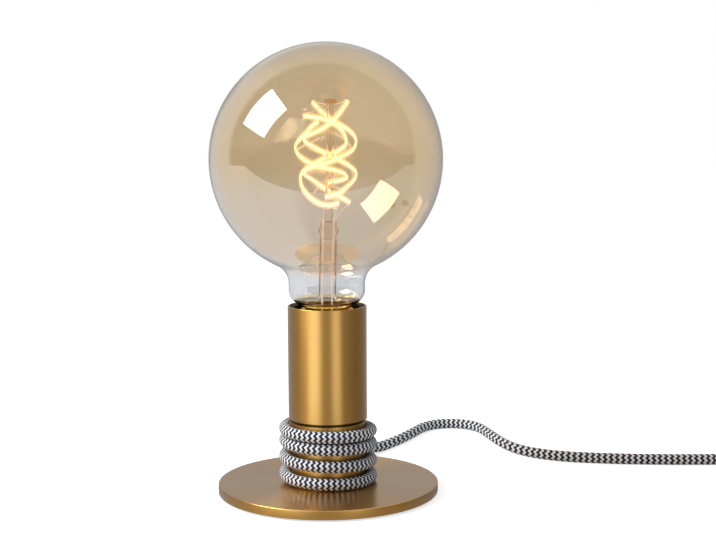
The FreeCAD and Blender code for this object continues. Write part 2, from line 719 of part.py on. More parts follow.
# --- cord -------------------------------------------------------------------------------------
def make_cord():
    rings = [Part.makeTorus(winding_radius, cord_radius, V(0, 0, base_top + h))
             for h in winding_heights]
    made = {"cord_lead": aimed(swept(lead_wire(), cord_radius)),
            "cord_winding": Part.makeCompound(rings)}
    routes = {"cord_run": cord_run_points, "cord_link": cord_link_points, "cord_tail": cord_tail_points}
    for name, points in routes.items():
        radii = []
        wire = routed_wire(points, radii=radii)
        made[name] = swept(wire, cord_radius)
        expected = math.pi * cord_radius ** 2 * wire.Length
        print(name, "length", round(wire.Length, 1), "volume share",
              round(made[name].Volume / expected, 4), "radii", [round(r) for r in radii])
    return made


def coil_section(grow):
    """The hull of three cords, two below and one above, as edges in the XZ plane."""
    r = cord_radius + grow
    low_z = cord_radius + coil_tie_thickness
    centres = [(coil_radius + cord_radius, low_z),
               (coil_radius, low_z + cord_radius * math.sqrt(3)), (coil_radius - cord_radius, low_z)]
    edges = []
    for k, centre in enumerate(centres):
        start = -90 + 120 * k
        edges.append(arc(centre, r, start, start + 120))
        after = centres[(k + 1) % 3]
        a = math.radians(start + 120)
        out = (r * math.cos(a), r * math.sin(a))
        edges.append(line((centre[0] + out[0], centre[1] + out[1]),
                          (after[0] + out[0], after[1] + out[1])))
    return Part.Face(Part.Wire(Part.__sortEdges__(edges)))


def make_coil():
    ring = coil_section(0).revolve(V(0, 0, 0), UP, 360)
    band_arc = math.degrees(coil_tie_width / coil_radius)
    band = coil_section(coil_tie_thickness).cut(coil_section(0)).Faces[0]
    band = band.revolve(V(0, 0, 0), UP, band_arc)
    band.rotate(V(0, 0, 0), UP, 180 - band_arc / 2)
    return {"cord_coil": moved(ring, *coil_centre), "coil_tie": moved(band, *coil_centre)}


# --- hand switch ------------------------------------------------------------------------------
def make_switch():
    """Two shells with a rocker between them, on the cord. Lengths lie along Y."""
    split, top = switch_base_height, switch_base_height + switch_cover_height
    base = rounded_block(switch_length, switch_width, 0, split, switch_corner)
    cover = rounded_block(switch_length, switch_width, split, top, switch_corner)
    cover_rim = [e for e in cover.Edges if e.BoundBox.ZMin > top - 0.01]
    cover = cover.makeFillet(switch_wall, cover_rim)
    room = rounded_block(switch_length - 2 * switch_corner, switch_width - 2 * switch_wall,
                         switch_wall, top - switch_wall, switch_corner / 2)
    base, cover = base.cut(room), cover.cut(room)
    entry = Part.makeCylinder(cord_radius + slide_gap / 2, switch_length + 2,
                              V(0, -switch_length / 2 - 1, cord_entry_height), V(0, 1, 0))
    base, cover = base.cut(entry), cover.cut(entry)
    c = rocker_clearance
    window = box((-rocker_width / 2 - c, -rocker_length / 2 - c, split),
                 (rocker_width / 2 + c, rocker_length / 2 + c, top + 1))
    cover = cover.cut(window)
    axis_z = rocker_axis_height()
    pin_length = rocker_width + 2 * (c + switch_wall)
    pin = Part.makeCylinder(rocker_pin_radius, pin_length, V(-pin_length / 2, 0, axis_z), V(1, 0, 0))
    ear_width = pin_length / 2 - rocker_width / 2 - c
    for side in (-1, 1):
        x = side * (rocker_width / 2 + c + ear_width / 2)
        ear = box((x - ear_width / 2, -2 * rocker_pin_radius, axis_z - 2 * rocker_pin_radius),
                  (x + ear_width / 2, 2 * rocker_pin_radius, top - switch_wall))
        cover = cover.fuse(ear)
    bore_length = pin_length + 2 * slide_gap
    bore = Part.makeCylinder(rocker_pin_radius + slide_gap / 2, bore_length,
                             V(-bore_length / 2, 0, axis_z), V(1, 0, 0))
    cover = cover.cut(bore)
    screws = []
    for end in (-1, 1):
        for side in (-1, 1):
            x, y = side * (switch_width / 2 - switch_corner / 2 - 2), end * switch_screw_offset
            post = cylinder(2 * switch_screw_radius, switch_wall, split, x, y)
            upper = cylinder(2 * switch_screw_radius, split, top - switch_wall / 2, x, y)
            base, cover = base.fuse(post), cover.fuse(upper)
            drill = cylinder(switch_screw_radius + slide_gap, 0, top - switch_wall, x, y)
            sink = cylinder(1.7 * switch_screw_radius + slide_gap, 0, switch_wall, x, y)
            base, cover = base.cut(drill).cut(sink), cover.cut(drill)
            shank = cylinder(switch_screw_radius, seat_gap, top - switch_wall - seat_gap, x, y)
            head = cylinder(1.7 * switch_screw_radius, seat_gap, switch_wall, x, y)
            screws.append(shank.fuse(head))
    base, cover = base.cut(entry), cover.cut(entry)
    pieces = {"switch_base": base, "switch_cover": cover, "switch_screws": Part.makeCompound(screws),
              "switch_rocker": make_rocker(pin, axis_z)}
    return {name: moved(shape, *switch_middle) for name, shape in pieces.items()}


def rocker_axis_height():
    return switch_base_height + switch_cover_height - switch_wall - 2 * rocker_pin_radius / 2


def make_rocker(pin, axis_z):
    """A shallow rocker with a dished top, tilted as it rests."""
    top = switch_base_height + switch_cover_height + 2.2
    bottom = axis_z - rocker_pin_radius
    half = rocker_length / 2 - rocker_clearance
    low = top - 0.9
    outline = [Part.Arc(V(0, -half, top), V(0, 0, low), V(0, half, top)).toShape(),
               Part.LineSegment(V(0, half, top), V(0, half - 1, axis_z + 1)).toShape(),
               Part.LineSegment(V(0, half - 1, axis_z + 1), V(0, 3, bottom)).toShape(),
               Part.LineSegment(V(0, 3, bottom), V(0, -3, bottom)).toShape(),
               Part.LineSegment(V(0, -3, bottom), V(0, 1 - half, axis_z + 1)).toShape(),
               Part.LineSegment(V(0, 1 - half, axis_z + 1), V(0, -half, top)).toShape()]
    blade = Part.Face(Part.Wire(outline)).extrude(V(rocker_width, 0, 0))
    blade.translate(V(-rocker_width / 2, 0, 0))
    rocker = blade.fuse(pin)
    rocker.rotate(V(0, 0, axis_z), V(1, 0, 0), rocker_tilt)
    return rocker


# --- plug -------------------------------------------------------------------------------------
def make_plug():
    """The flat plug. Its pins point to -X, and the cord comes in from +X."""
    x0, y0 = plug_front
    middle_z = plug_height / 2
    block = rounded_block(plug_length, plug_width, 0, plug_height, plug_corner / 2)
    long_edges = [e for e in block.Edges if abs(e.tangentAt(e.FirstParameter).y) > 0.9
                  and e.BoundBox.YLength > plug_length / 2]
    block = block.makeFillet(plug_corner - 0.2, long_edges)
    block.rotate(V(0, 0, 0), UP, -90)
    block = moved(block, x0 + plug_length / 2, y0)
    boot = Part.makeCone(plug_boot_root_radius, plug_boot_tip_radius, plug_boot_length,
                         V(x0 + plug_length - 1, y0, middle_z), V(1, 0, 0))
    body = block.fuse(boot)
    boot_end = x0 + plug_length - 1 + plug_boot_length
    bore_length = boot_end - cord_tail_points[-1][0]
    body = body.cut(Part.makeCylinder(cord_radius + slide_gap / 2, bore_length + 1,
                                      V(cord_tail_points[-1][0], y0, middle_z), V(1, 0, 0)))
    pins, sheaths = [], []
    for side in (-1, 1):
        y = y0 + side * pin_spacing / 2
        tip = V(x0 - pin_length, y, middle_z)
        bare = Part.makeCylinder(pin_radius, pin_bare_length, tip, V(1, 0, 0))
        tip_edge = [e for e in bare.Edges if e.BoundBox.XMax < tip.x + 0.01]
        bare = bare.makeFillet(pin_radius / 2, tip_edge)
        sheath_length = pin_length - pin_bare_length + pin_root
        sheath_radius = pin_radius - pin_sheath_relief
        thin = sheath_radius - pin_sheath_wall
        neck = Part.makeCylinder(thin, sheath_length, tip + V(pin_bare_length, 0, 0), V(1, 0, 0))
        cover = Part.makeCylinder(sheath_radius, sheath_length, tip + V(pin_bare_length, 0, 0),
                                  V(1, 0, 0))
        pins.append(bare.fuse(neck))
        sheaths.append(cover.cut(neck))
        body = body.cut(Part.makeCylinder(sheath_radius + slide_gap / 2, pin_root, V(x0, y, middle_z),
                                          V(1, 0, 0)))
    return {"plug_body": body, "plug_pins": Part.makeCompound(pins),
            "pin_sheaths": Part.makeCompound(sheaths)}


makers = (make_foot, make_spool, make_cord_grip, make_clamped_rod, make_sleeve, make_lampholder,
          make_contacts, make_cores, make_globe, make_cap, make_driver, make_stem, make_filaments,
          make_wires, make_cord, make_coil, make_switch, make_plug)

for maker in makers:
    for node, shape in maker().items():
        shape.exportStep(f"parts/{node}.step")
        print(node, len(shape.Solids), round(shape.Volume, 1), shape.isValid())
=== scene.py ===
import json
import math
import bmesh
import bpy
import numpy as np
from mathutils import Matrix, Vector


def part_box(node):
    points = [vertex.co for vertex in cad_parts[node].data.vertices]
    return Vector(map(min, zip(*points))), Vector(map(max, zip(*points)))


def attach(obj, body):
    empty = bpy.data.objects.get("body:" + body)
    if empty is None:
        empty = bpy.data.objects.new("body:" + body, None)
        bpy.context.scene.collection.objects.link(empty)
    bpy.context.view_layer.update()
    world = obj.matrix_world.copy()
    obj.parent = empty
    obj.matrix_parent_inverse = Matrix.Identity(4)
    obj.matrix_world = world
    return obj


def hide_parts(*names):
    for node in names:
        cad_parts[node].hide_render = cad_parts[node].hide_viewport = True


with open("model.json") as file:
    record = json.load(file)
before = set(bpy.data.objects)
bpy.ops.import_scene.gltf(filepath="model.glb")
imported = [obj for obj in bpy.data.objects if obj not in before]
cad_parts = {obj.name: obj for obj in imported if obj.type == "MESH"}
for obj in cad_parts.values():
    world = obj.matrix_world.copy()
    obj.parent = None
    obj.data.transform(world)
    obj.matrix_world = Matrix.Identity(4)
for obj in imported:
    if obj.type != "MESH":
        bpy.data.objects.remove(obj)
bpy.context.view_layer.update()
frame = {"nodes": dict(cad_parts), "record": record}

mm = 0.001
nodes = frame["nodes"]
record = frame["record"]
print("frame loaded,", len(nodes), "nodes")


camera = {"place": (16.8, -754.8, 208.3), "tilt": 6.53, "roll": -0.27, "lens": 70.84, "sensor": 36}

softboxes = [  # where each stands as seen from the lamp, its size in metres, how bright it looks
    {"name": "key", "azimuth": -165, "elevation": 38, "away": 1.25, "wide": 0.69, "high": 0.66,
     "roll": -11, "bright": 11.0, "colour": (1.0, 0.98, 0.95)},
    {"name": "fill", "azimuth": -122, "elevation": 31, "away": 1.6, "wide": 0.48, "high": 0.52,
     "roll": 0, "bright": 0.42, "colour": (1.0, 0.95, 0.86)},
]
aimHeight = 150  # the height that the softboxes face


def setCamera():
    data = bpy.data.cameras.new("camera")
    data.sensor_width, data.lens = camera["sensor"], camera["lens"]
    obj = bpy.data.objects.new("camera", data)
    bpy.context.collection.objects.link(obj)
    obj.matrix_world = (Matrix.Translation(Vector(camera["place"]) * mm)
                        @ Matrix.Rotation(math.radians(90 - camera["tilt"]), 4, "X")
                        @ Matrix.Rotation(math.radians(camera["roll"]), 4, "Z"))
    bpy.context.scene.camera = obj


def setSoftbox(box):
    data = bpy.data.lights.new(box["name"], "AREA")
    data.shape, data.size, data.size_y = "RECTANGLE", box["wide"], box["high"]
    data.energy = box["bright"] * math.pi * box["wide"] * box["high"]
    data.color = box["colour"]
    obj = bpy.data.objects.new(box["name"], data)
    bpy.context.collection.objects.link(obj)
    azimuth, elevation = math.radians(box["azimuth"]), math.radians(box["elevation"])
    level = math.cos(elevation)
    toward = Vector((level * math.cos(azimuth), level * math.sin(azimuth), math.sin(elevation)))
    turn = Matrix.Rotation(math.radians(box["roll"]), 4, "Z")
    aim = toward.to_track_quat("Z", "Y").to_matrix().to_4x4() @ turn
    middle = toward * box["away"] + Vector((0, 0, aimHeight * mm))
    obj.matrix_world = Matrix.Translation(middle) @ aim
    obj.visible_camera = False


# Short ways to add nodes. An input may be a value or another node's socket.
def addNode(tree, kind, inputs=None, **settings):
    node = tree.nodes.new(kind)
    for key, value in settings.items():
        setattr(node, key, value)
    for key, value in (inputs or {}).items():
        if isinstance(value, bpy.types.NodeSocket):
            tree.links.new(value, node.inputs[key])
        else:
            node.inputs[key].default_value = value
    return node


def calc(tree, operation, *values, clamp=False):
    return addNode(tree, "ShaderNodeMath", dict(enumerate(values)), operation=operation,
                   use_clamp=clamp).outputs[0]


def times(tree, first, second):
    return calc(tree, "MULTIPLY", first, second)


def apart(tree, first, second):
    return calc(tree, "ABSOLUTE", calc(tree, "SUBTRACT", first, second))


def mixColour(tree, amount, first, second):
    return addNode(tree, "ShaderNodeMix", {0: amount, 6: first, 7: second},
                   data_type="RGBA").outputs[2]


def mixValue(tree, amount, first, second):
    return addNode(tree, "ShaderNodeMix", {0: amount, 2: first, 3: second}).outputs[0]


def split(tree, vector):
    return addNode(tree, "ShaderNodeSeparateXYZ", {0: vector}).outputs


def objectPlace(tree):
    return addNode(tree, "ShaderNodeTexCoord").outputs["Object"]


def slantOf(tree):
    return addNode(tree, "ShaderNodeLayerWeight", {0: 0.5}).outputs["Facing"]


def stretch(tree, value, low, high, toLow=0.0, toHigh=1.0, smooth=False):
    return addNode(tree, "ShaderNodeMapRange", {0: value, 1: low, 2: high, 3: toLow, 4: toHigh},
                   interpolation_type="SMOOTHSTEP" if smooth else "LINEAR").outputs[0]


def rgb(red, green, blue):
    return (red, green, blue, 1.0)


def newGroup(name, inputs, outputs):
    tree = bpy.data.node_groups.new(name, "ShaderNodeTree")
    for key, (kind, value) in inputs.items():
        socket = tree.interface.new_socket(key, in_out="INPUT", socket_type=kind)
        if value is not None:
            socket.default_value = value
    for key, kind in outputs.items():
        tree.interface.new_socket(key, in_out="OUTPUT", socket_type=kind)
    return tree, tree.nodes.new("NodeGroupInput").outputs, tree.nodes.new("NodeGroupOutput").inputs


def useGroup(tree, group, **inputs):
    node = tree.nodes.new("ShaderNodeGroup")
    node.node_tree = group
    for key, value in inputs.items():
        node.inputs[key].default_value = value
    return node.outputs


def newMaterial(name, **sockets):
    material = bpy.data.materials.new(name)
    material.use_nodes = True
    tree = material.node_tree
    shader = tree.nodes["Principled BSDF"]
    for key, value in sockets.items():
        shader.inputs[key.replace("_", " ")].default_value = value
    return material, tree, shader


def setBump(tree, shader, height, distance, strength=1.0):
    bump = addNode(tree, "ShaderNodeBump", {"Height": height, "Strength": strength,
                                            "Distance": distance})
    tree.links.new(bump.outputs[0], shader.inputs["Normal"])


def feed(tree, shader, **sockets):
    for key, value in sockets.items():
        tree.links.new(value, shader.inputs[key.replace("_", " ")])


# Short ways to make meshes.
def gridMesh(name, points, material, closedRows=False, capLow=None, capHigh=None, uvAlong=None):
    # Quads between neighbouring rows of points (rows, columns, 3); columns close round.
    rows, columns = points.shape[:2]
    upTo = rows if closedRows else rows - 1
    i, j = np.meshgrid(np.arange(upTo), np.arange(columns), indexing="ij")
    above, beside = (i + 1) % rows, (j + 1) % columns
    quads = np.stack([i * columns + j, i * columns + beside, above * columns + beside,
                      above * columns + j], axis=-1).reshape(-1, 4)
    vertices, faces = points.reshape(-1, 3).tolist(), quads.tolist()
    ring = np.arange(columns)
    following = (ring + 1) % columns
    for pole, row, flip in ((capLow, 0, True), (capHigh, rows - 1, False)):
        if pole is not None:
            vertices.append([float(x) for x in pole])
            fan = np.stack([row * columns + ring, row * columns + following,
                            np.full(columns, len(vertices) - 1)], axis=-1)
            faces += (fan[:, ::-1] if flip else fan).tolist()
    mesh = bpy.data.meshes.new(name)
    mesh.from_pydata(vertices, [], faces)
    if uvAlong is not None:
        across = np.stack([j, j + 1, j + 1, j], axis=-1).reshape(-1) / columns
        along = np.stack([uvAlong[i], uvAlong[i], uvAlong[above], uvAlong[above]], axis=-1)
        along = along.reshape(-1)
        layer = mesh.uv_layers.new(name="along")
        flat = np.zeros(len(mesh.loops) * 2, dtype=np.float32)
        flat[0:2 * len(along):2], flat[1:2 * len(along):2] = along, across
        layer.data.foreach_set("uv", flat)
    mesh.shade_smooth()
    return finishPiece(name, mesh, material)


def finishPiece(name, mesh, material):
    mesh.materials.clear()
    mesh.materials.append(material)
    obj = bpy.data.objects.new(name, mesh)
    bpy.context.collection.objects.link(obj)
    return obj


def turned(name, profile, material, around=192, poles=None):
    # Each (radius, height) of the profile is carried once round Z, up on the outside and down
    # inside. The profile closes on itself, or on the axis at the two heights given as poles.
    profile = np.array(profile, dtype=float) * mm
    angle = np.linspace(0, 2 * np.pi, around, endpoint=False)
    r, z = profile[:, 0:1], profile[:, 1:2]
    points = np.stack([r * np.cos(angle), r * np.sin(angle), z + 0 * angle], axis=-1)
    low, high = [(0, 0, height * mm) for height in poles] if poles else (None, None)
    return gridMesh(name, points, material, closedRows=not poles, capLow=low, capHigh=high)


def arc(centre, radius, start, end, count):
    # Points on a circle in the (radius, height) plane between two angles.
    a = np.radians(np.linspace(start, end, count))
    return np.stack([centre[0] + radius * np.cos(a), centre[1] + radius * np.sin(a)], axis=-1)


def rounded(corners, radius, steps=4):
    # A closed profile whose corners turn on quadratic curves, from a point before the corner to
    # one after it.
    corners = [np.array(c, dtype=float) for c in corners]
    found = []
    around = zip(corners[-1:] + corners[:-1], corners, corners[1:] + corners[:1])
    for before, corner, after in around:
        back, ahead = before - corner, after - corner
        backLong, aheadLong = np.linalg.norm(back), np.linalg.norm(ahead)
        reach = min(radius, 0.45 * backLong, 0.45 * aheadLong)  # under half of each side
        a = corner + back / backLong * reach
        b = corner + ahead / aheadLong * reach
        t = np.linspace(0, 1, steps + 1)[:, None]
        found.append((1 - t) ** 2 * a + 2 * t * (1 - t) * corner + t ** 2 * b)
    return np.concatenate(found)


def carried(name, path, section, material, side=None, unit=mm, **more):
    # Each ring is a point of the path plus across times side plus up times (side x tangent),
    # for each (across, up) of the section. Side lies level unless it is given.
    tangent = np.gradient(path, axis=0)
    tangent /= np.linalg.norm(tangent, axis=1, keepdims=True)
    if side is None:
        side = np.cross(tangent, (0.0, 0.0, 1.0))
    side = side - (side * tangent).sum(axis=1, keepdims=True) * tangent
    side = side / np.linalg.norm(side, axis=1, keepdims=True)
    up = np.cross(side, tangent)
    points = (path[:, None] + section[None, :, 0:1] * side[:, None]
              + section[None, :, 1:2] * up[:, None])
    return gridMesh(name, points * unit, material, capLow=path[0] * unit, capHigh=path[-1] * unit,
                    **more)


def roundSection(across, up, count):
    # An ellipse with the half widths across and up, run so that its faces look outward.
    a = np.linspace(0, 2 * np.pi, count, endpoint=False)
    return np.stack([across * np.cos(a), -up * np.sin(a)], axis=-1)


def smoothCopy(name, node, material, angle=32):
    # A merged copy of a CAD node's loose triangles, smooth up to the angle given.
    mesh = nodes[node].data.copy()
    shape = bmesh.new()
    shape.from_mesh(mesh)
    bmesh.ops.remove_doubles(shape, verts=shape.verts, dist=0.002 * mm)
    shape.to_mesh(mesh)
    shape.free()
    mesh.shade_smooth()
    mesh.set_sharp_from_angle(angle=math.radians(angle))
    return finishPiece(name, mesh, material)


def place(piece, body, slotName, *covers):
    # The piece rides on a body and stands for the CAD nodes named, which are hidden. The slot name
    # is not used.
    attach(piece, body)
    if covers:
        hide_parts(*covers)
    return piece


def carryOver(name, node, body, finish=None):
    used = slotOf[node]
    return place(smoothCopy(name, node, finish or finishes[used]), body, used, node)


# Effects that several materials share.
def makeTurnedMarks():
    # Fine lines left by turning: noise that changes quickly along the profile (radius - height)
    # and slowly round it (x and y over the radius).
    tree, given, out = newGroup("turnedMarks", {
        "Fine": ("NodeSocketFloat", 9000.0), "Round": ("NodeSocketFloat", 1.2),
        "Contrast": ("NodeSocketFloat", 1.0)},
        {"Shade": "NodeSocketFloat", "Height": "NodeSocketFloat"})
    x, y, z = split(tree, objectPlace(tree))
    squares = calc(tree, "ADD", times(tree, x, x), times(tree, y, y))
    radius = calc(tree, "MAXIMUM", calc(tree, "SQRT", squares), 0.5 * mm)  # never 0
    across = times(tree, calc(tree, "DIVIDE", x, radius), given["Round"])
    deep = times(tree, calc(tree, "DIVIDE", y, radius), given["Round"])
    lines = times(tree, calc(tree, "SUBTRACT", radius, z), given["Fine"])
    where = addNode(tree, "ShaderNodeCombineXYZ", {0: across, 1: deep, 2: lines}).outputs[0]
    noise = addNode(tree, "ShaderNodeTexNoise", {"Vector": where, "Scale": 1.0, "Detail": 3.0,
                                                 "Roughness": 0.65}).outputs[0]
    shade = calc(tree, "MULTIPLY_ADD", calc(tree, "SUBTRACT", noise, 0.5), given["Contrast"], 0.5,
                 clamp=True)
    tree.links.new(shade, out["Shade"])
    tree.links.new(noise, out["Height"])
    return tree


def makeMottle():
    # Soft uneven tone, with small specks on top, for mouldings, ceramics and plated pieces.
    tree, given, out = newGroup("mottle", {
        "Large": ("NodeSocketFloat", 60.0), "Small": ("NodeSocketFloat", 1800.0)},
        {"Tone": "NodeSocketFloat", "Grain": "NodeSocketFloat"})
    where = objectPlace(tree)
    for scale, detail, name in (("Large", 2.0, "Tone"), ("Small", 1.0, "Grain")):
        noise = addNode(tree, "ShaderNodeTexNoise", {"Vector": where, "Scale": given[scale],
                                                     "Detail": detail})
        tree.links.new(noise.outputs[0], out[name])
    return tree


turnedMarks = makeTurnedMarks()
mottle = makeMottle()


# Finishes, each with its look. Colours are linear, from 0 to 1.
brassLook = {"light": (0.80, 0.43, 0.097), "deep": (0.70, 0.36, 0.076), "rough": 0.30,
             "uneven": 0.035, "smear": 0.82, "fine": 9000.0, "contrast": 1.3, "bump": 0.012,
             "coatRough": 0.22, "coatIor": 2.4, "coatSlant": (0.30, 0.75), "coatLeast": 0.15}
# Painted shade: a dark band round the brass at the seam under the sleeve, standing in for its
# shadow.
seam = {"height": 40.6, "dark": 0.55, "fade": 1.25, "depth": 0.10,  # the dark line under the sleeve
        "colour": (0.02, 0.008, 0.002)}


def makeBrass():
    # Brushed metal smeared along its turning marks, under a lacquer that shows at a slant. Both
    # darken in the seam under the sleeve, a painted shade line that stands in for its shadow.
    look = brassLook
    material, tree, shader = newMaterial(
        "brass", Metallic=1.0, Roughness=look["rough"], Anisotropic=look["smear"],
        Anisotropic_Rotation=0.25, Coat_Roughness=look["coatRough"], Coat_IOR=look["coatIor"])
    marks = useGroup(tree, turnedMarks, Fine=look["fine"], Contrast=look["contrast"])
    height = split(tree, objectPlace(tree))[2]
    # Painted shade: colour and lacquer fade to the dark seam colour near the seam height.
    aside = apart(tree, height, seam["height"] * mm)
    outsideSeamShade = stretch(tree, aside, seam["dark"] * mm, seam["fade"] * mm, seam["depth"], 1.0,
                    smooth=True)
    colour = mixColour(tree, marks["Shade"], rgb(*look["deep"]), rgb(*look["light"]))
    lacquer = stretch(tree, slantOf(tree), *look["coatSlant"], look["coatLeast"], 1.0)
    feed(tree, shader, Base_Color=mixColour(tree, outsideSeamShade, rgb(*seam["colour"]), colour),
         Roughness=stretch(tree, marks["Shade"], 0.0, 1.0, look["rough"] + look["uneven"],
                           look["rough"] - look["uneven"]),
         Coat_Weight=times(tree, lacquer, outsideSeamShade))
    setBump(tree, shader, marks["Height"], look["bump"] * mm, strength=0.35)
    tangent = addNode(tree, "ShaderNodeTangent", direction_type="RADIAL", axis="Z")
    tree.links.new(tangent.outputs[0], shader.inputs["Tangent"])
    return material


def makePlain(name, light, dark, rough, metallic=0.0, large=60.0, bump=0.01, **more):
    # A moulded, cast or plated finish: two close tones, grain in the gloss, which is a little
    # under or over the roughness given, and a trace of relief.
    material, tree, shader = newMaterial(name, Metallic=metallic, Roughness=rough, **more)
    marks = useGroup(tree, mottle, Large=large)
    feed(tree, shader, Base_Color=mixColour(tree, marks["Tone"], rgb(*dark), rgb(*light)),
         Roughness=stretch(tree, marks["Grain"], 0.3, 0.7, rough - 0.04, rough + 0.06))
    setBump(tree, shader, marks["Grain"], bump * mm, strength=0.5)
    return material


def makeFelt(light, dark):
    material, tree, shader = newMaterial("felt", Roughness=0.95, Sheen_Weight=0.3)
    marks = useGroup(tree, mottle, Large=300.0, Small=2600.0)
    feed(tree, shader, Base_Color=mixColour(tree, marks["Grain"], rgb(*dark), rgb(*light)))
    setBump(tree, shader, marks["Grain"], 0.2 * mm)
    return material


# The groove colour is painted shade where the pale threads meet.
cordLook = {"dark": (0.006, 0.007, 0.022), "darkFuzz": (0.014, 0.016, 0.042),
            "pale": (0.93, 0.96, 1.0), "paleFuzz": (0.80, 0.83, 0.88), "groove": (0.50, 0.50, 0.57),
            "repeat": 2.8, "zigzags": 7, "slope": 0.8, "paleEdge": (0.24, 0.30), "threads": 4.0,
            "crown": 0.9, "sunk": 0.6, "grooved": 0.45, "fuzz": 0.5, "fuzzScale": 2500.0,
            "bump": 0.22}


def makeBraid():
    # Zigzag braid: stripes along the cord, shifted by a triangle wave round it. Each repeat is
    # split into threads, which stand proud and sink where they cross.
    look = cordLook
    material, tree, shader = newMaterial("textile", Roughness=0.85, Sheen_Weight=0.08,
                                         Sheen_Roughness=0.5)
    along, across, _ = split(tree, addNode(tree, "ShaderNodeUVMap", uv_map="along").outputs[0])
    turns = times(tree, across, float(look["zigzags"]))
    wave = times(tree, calc(tree, "PINGPONG", turns, 0.5), look["slope"])
    beat = calc(tree, "DIVIDE", along, look["repeat"] * mm)
    phase = calc(tree, "FRACT", calc(tree, "ADD", beat, wave))
    centred = apart(tree, phase, 0.5)
    pale = stretch(tree, centred, *look["paleEdge"], smooth=True)
    thread = calc(tree, "FRACT", times(tree, phase, look["threads"]))
    strand = apart(tree, thread, 0.5)
    crossing = calc(tree, "FRACT", times(tree, turns, 2.0))
    cell = apart(tree, crossing, 0.5)
    sunk = times(tree, calc(tree, "POWER", times(tree, cell, 2.0), 3.0), look["sunk"])
    proud = calc(tree, "SUBTRACT", 1.0, times(tree, strand, look["crown"]))
    height = calc(tree, "SUBTRACT", proud, sunk)
    fuzz = addNode(tree, "ShaderNodeTexNoise", {
        "Vector": objectPlace(tree), "Scale": look["fuzzScale"], "Detail": 2.0}).outputs[0]
    dark = mixColour(tree, fuzz, rgb(*look["dark"]), rgb(*look["darkFuzz"]))
    light = mixColour(tree, fuzz, rgb(*look["paleFuzz"]), rgb(*look["pale"]))
    # Painted shade: the pale threads turn grey toward their edges, in the grooves between them.
    light = mixColour(tree, times(tree, strand, look["grooved"]), light, rgb(*look["groove"]))
    feed(tree, shader, Base_Color=mixColour(tree, pale, dark, light))
    relief = calc(tree, "ADD", height, times(tree, fuzz, look["fuzz"]))
    setBump(tree, shader, relief, look["bump"] * mm, strength=0.8)
    return material


# The pale tint is a painted reflection of the white surroundings, used low down, on the left and at
# a slant.
glassLook = {"amber": (0.86, 0.735, 0.54), "pale": (0.845, 0.755, 0.64),
             "clear": (0.90, 0.905, 0.915), "neckFade": (119, 127), "paleFade": (160, 178),
             "ior": 2.05, "lip": (0.80, 0.58, 0.14), "lipFade": (104.5, 107.5),
             "sideFade": (18, 40), "sideShare": 0.75, "slantFade": (0.45, 0.66),
             "slantShare": 0.2, "haze": (1.0, 0.95, 0.88), "hazeShare": 0.08}
stemLook = {"tints": ((0.98, 0.97, 0.97), (0.99, 0.95, 0.93), (0.99, 0.94, 0.90)),
            "pinch": (0.99, 0.85, 0.72), "button": (1.0, 0.62, 0.3),
            "fades": ((100, 130), (150, 200)), "ior": 1.16, "pinchIor": 2.0, "buttonIor": 1.35}


def makeGlass(name, clearTint, lowTint, highTint, neckFade, paleFade, ior, lip=None):
    # Glass tinted by height and side, and paler at a slant, where the pale tint is a painted
    # reflection of the white surroundings. Shadow rays and diffuse rays pass straight through.
    look = glassLook
    material, tree, shader = newMaterial(name, Roughness=0.0, IOR=ior, Transmission_Weight=1.0)
    beside, _, height = split(tree, objectPlace(tree))

    def above(fade):
        return stretch(tree, height, fade[0] * mm, fade[1] * mm, smooth=True)

    # Painted reflection: the tint turns pale below paleFade, away from the right side and at a
    # slant.
    side = stretch(tree, beside, look["sideFade"][0] * mm, look["sideFade"][1] * mm, 0.0,
                   look["sideShare"], smooth=True)
    rimReflection = stretch(tree, slantOf(tree), *look["slantFade"], 1.0, look["slantShare"], smooth=True)
    rich = times(tree, calc(tree, "MAXIMUM", above(paleFade), side), rimReflection)
    tint = mixColour(tree, rich, rgb(*lowTint), rgb(*highTint))
    tint = mixColour(tree, above(neckFade), rgb(*clearTint), tint)
    if lip:
        tint = mixColour(tree, above(lip), rgb(*look["lip"]), tint)
    marks = useGroup(tree, mottle, Large=25.0, Small=300.0)
    tint = mixColour(tree, times(tree, marks["Tone"], look["hazeShare"]), tint, rgb(*look["haze"]))
    feed(tree, shader, Base_Color=tint)
    clear = addNode(tree, "ShaderNodeBsdfTransparent", {0: tint})
    rays = addNode(tree, "ShaderNodeLightPath").outputs
    passing = calc(tree, "MAXIMUM", rays["Is Shadow Ray"], rays["Is Diffuse Ray"])
    mix = addNode(tree, "ShaderNodeMixShader", {0: passing, 1: shader.outputs[0],
                                                2: clear.outputs[0]})
    tree.links.new(mix.outputs[0], tree.nodes["Material Output"].inputs["Surface"])
    return material


glowLook = {"core": (1.0, 0.97, 1.0), "coreGrain": (1.0, 0.95, 0.90), "edge": (0.95, 0.76, 0.55),
            "edgeFade": (0.55, 1.0), "edgeShare": 0.8, "bright": 1.5, "coat": (1.0, 0.60, 0.16),
            "coatGrain": (1.0, 0.72, 0.32), "coatBright": 2.2, "coatAlpha": 0.18,
            "coatFade": (0.05, 0.9), "grains": ((0.9, 0.62, 0.2), (1.0, 0.75, 0.3)),
            "silicone": ((1.0, 0.7, 0.3), (0.9, 0.6, 0.25))}


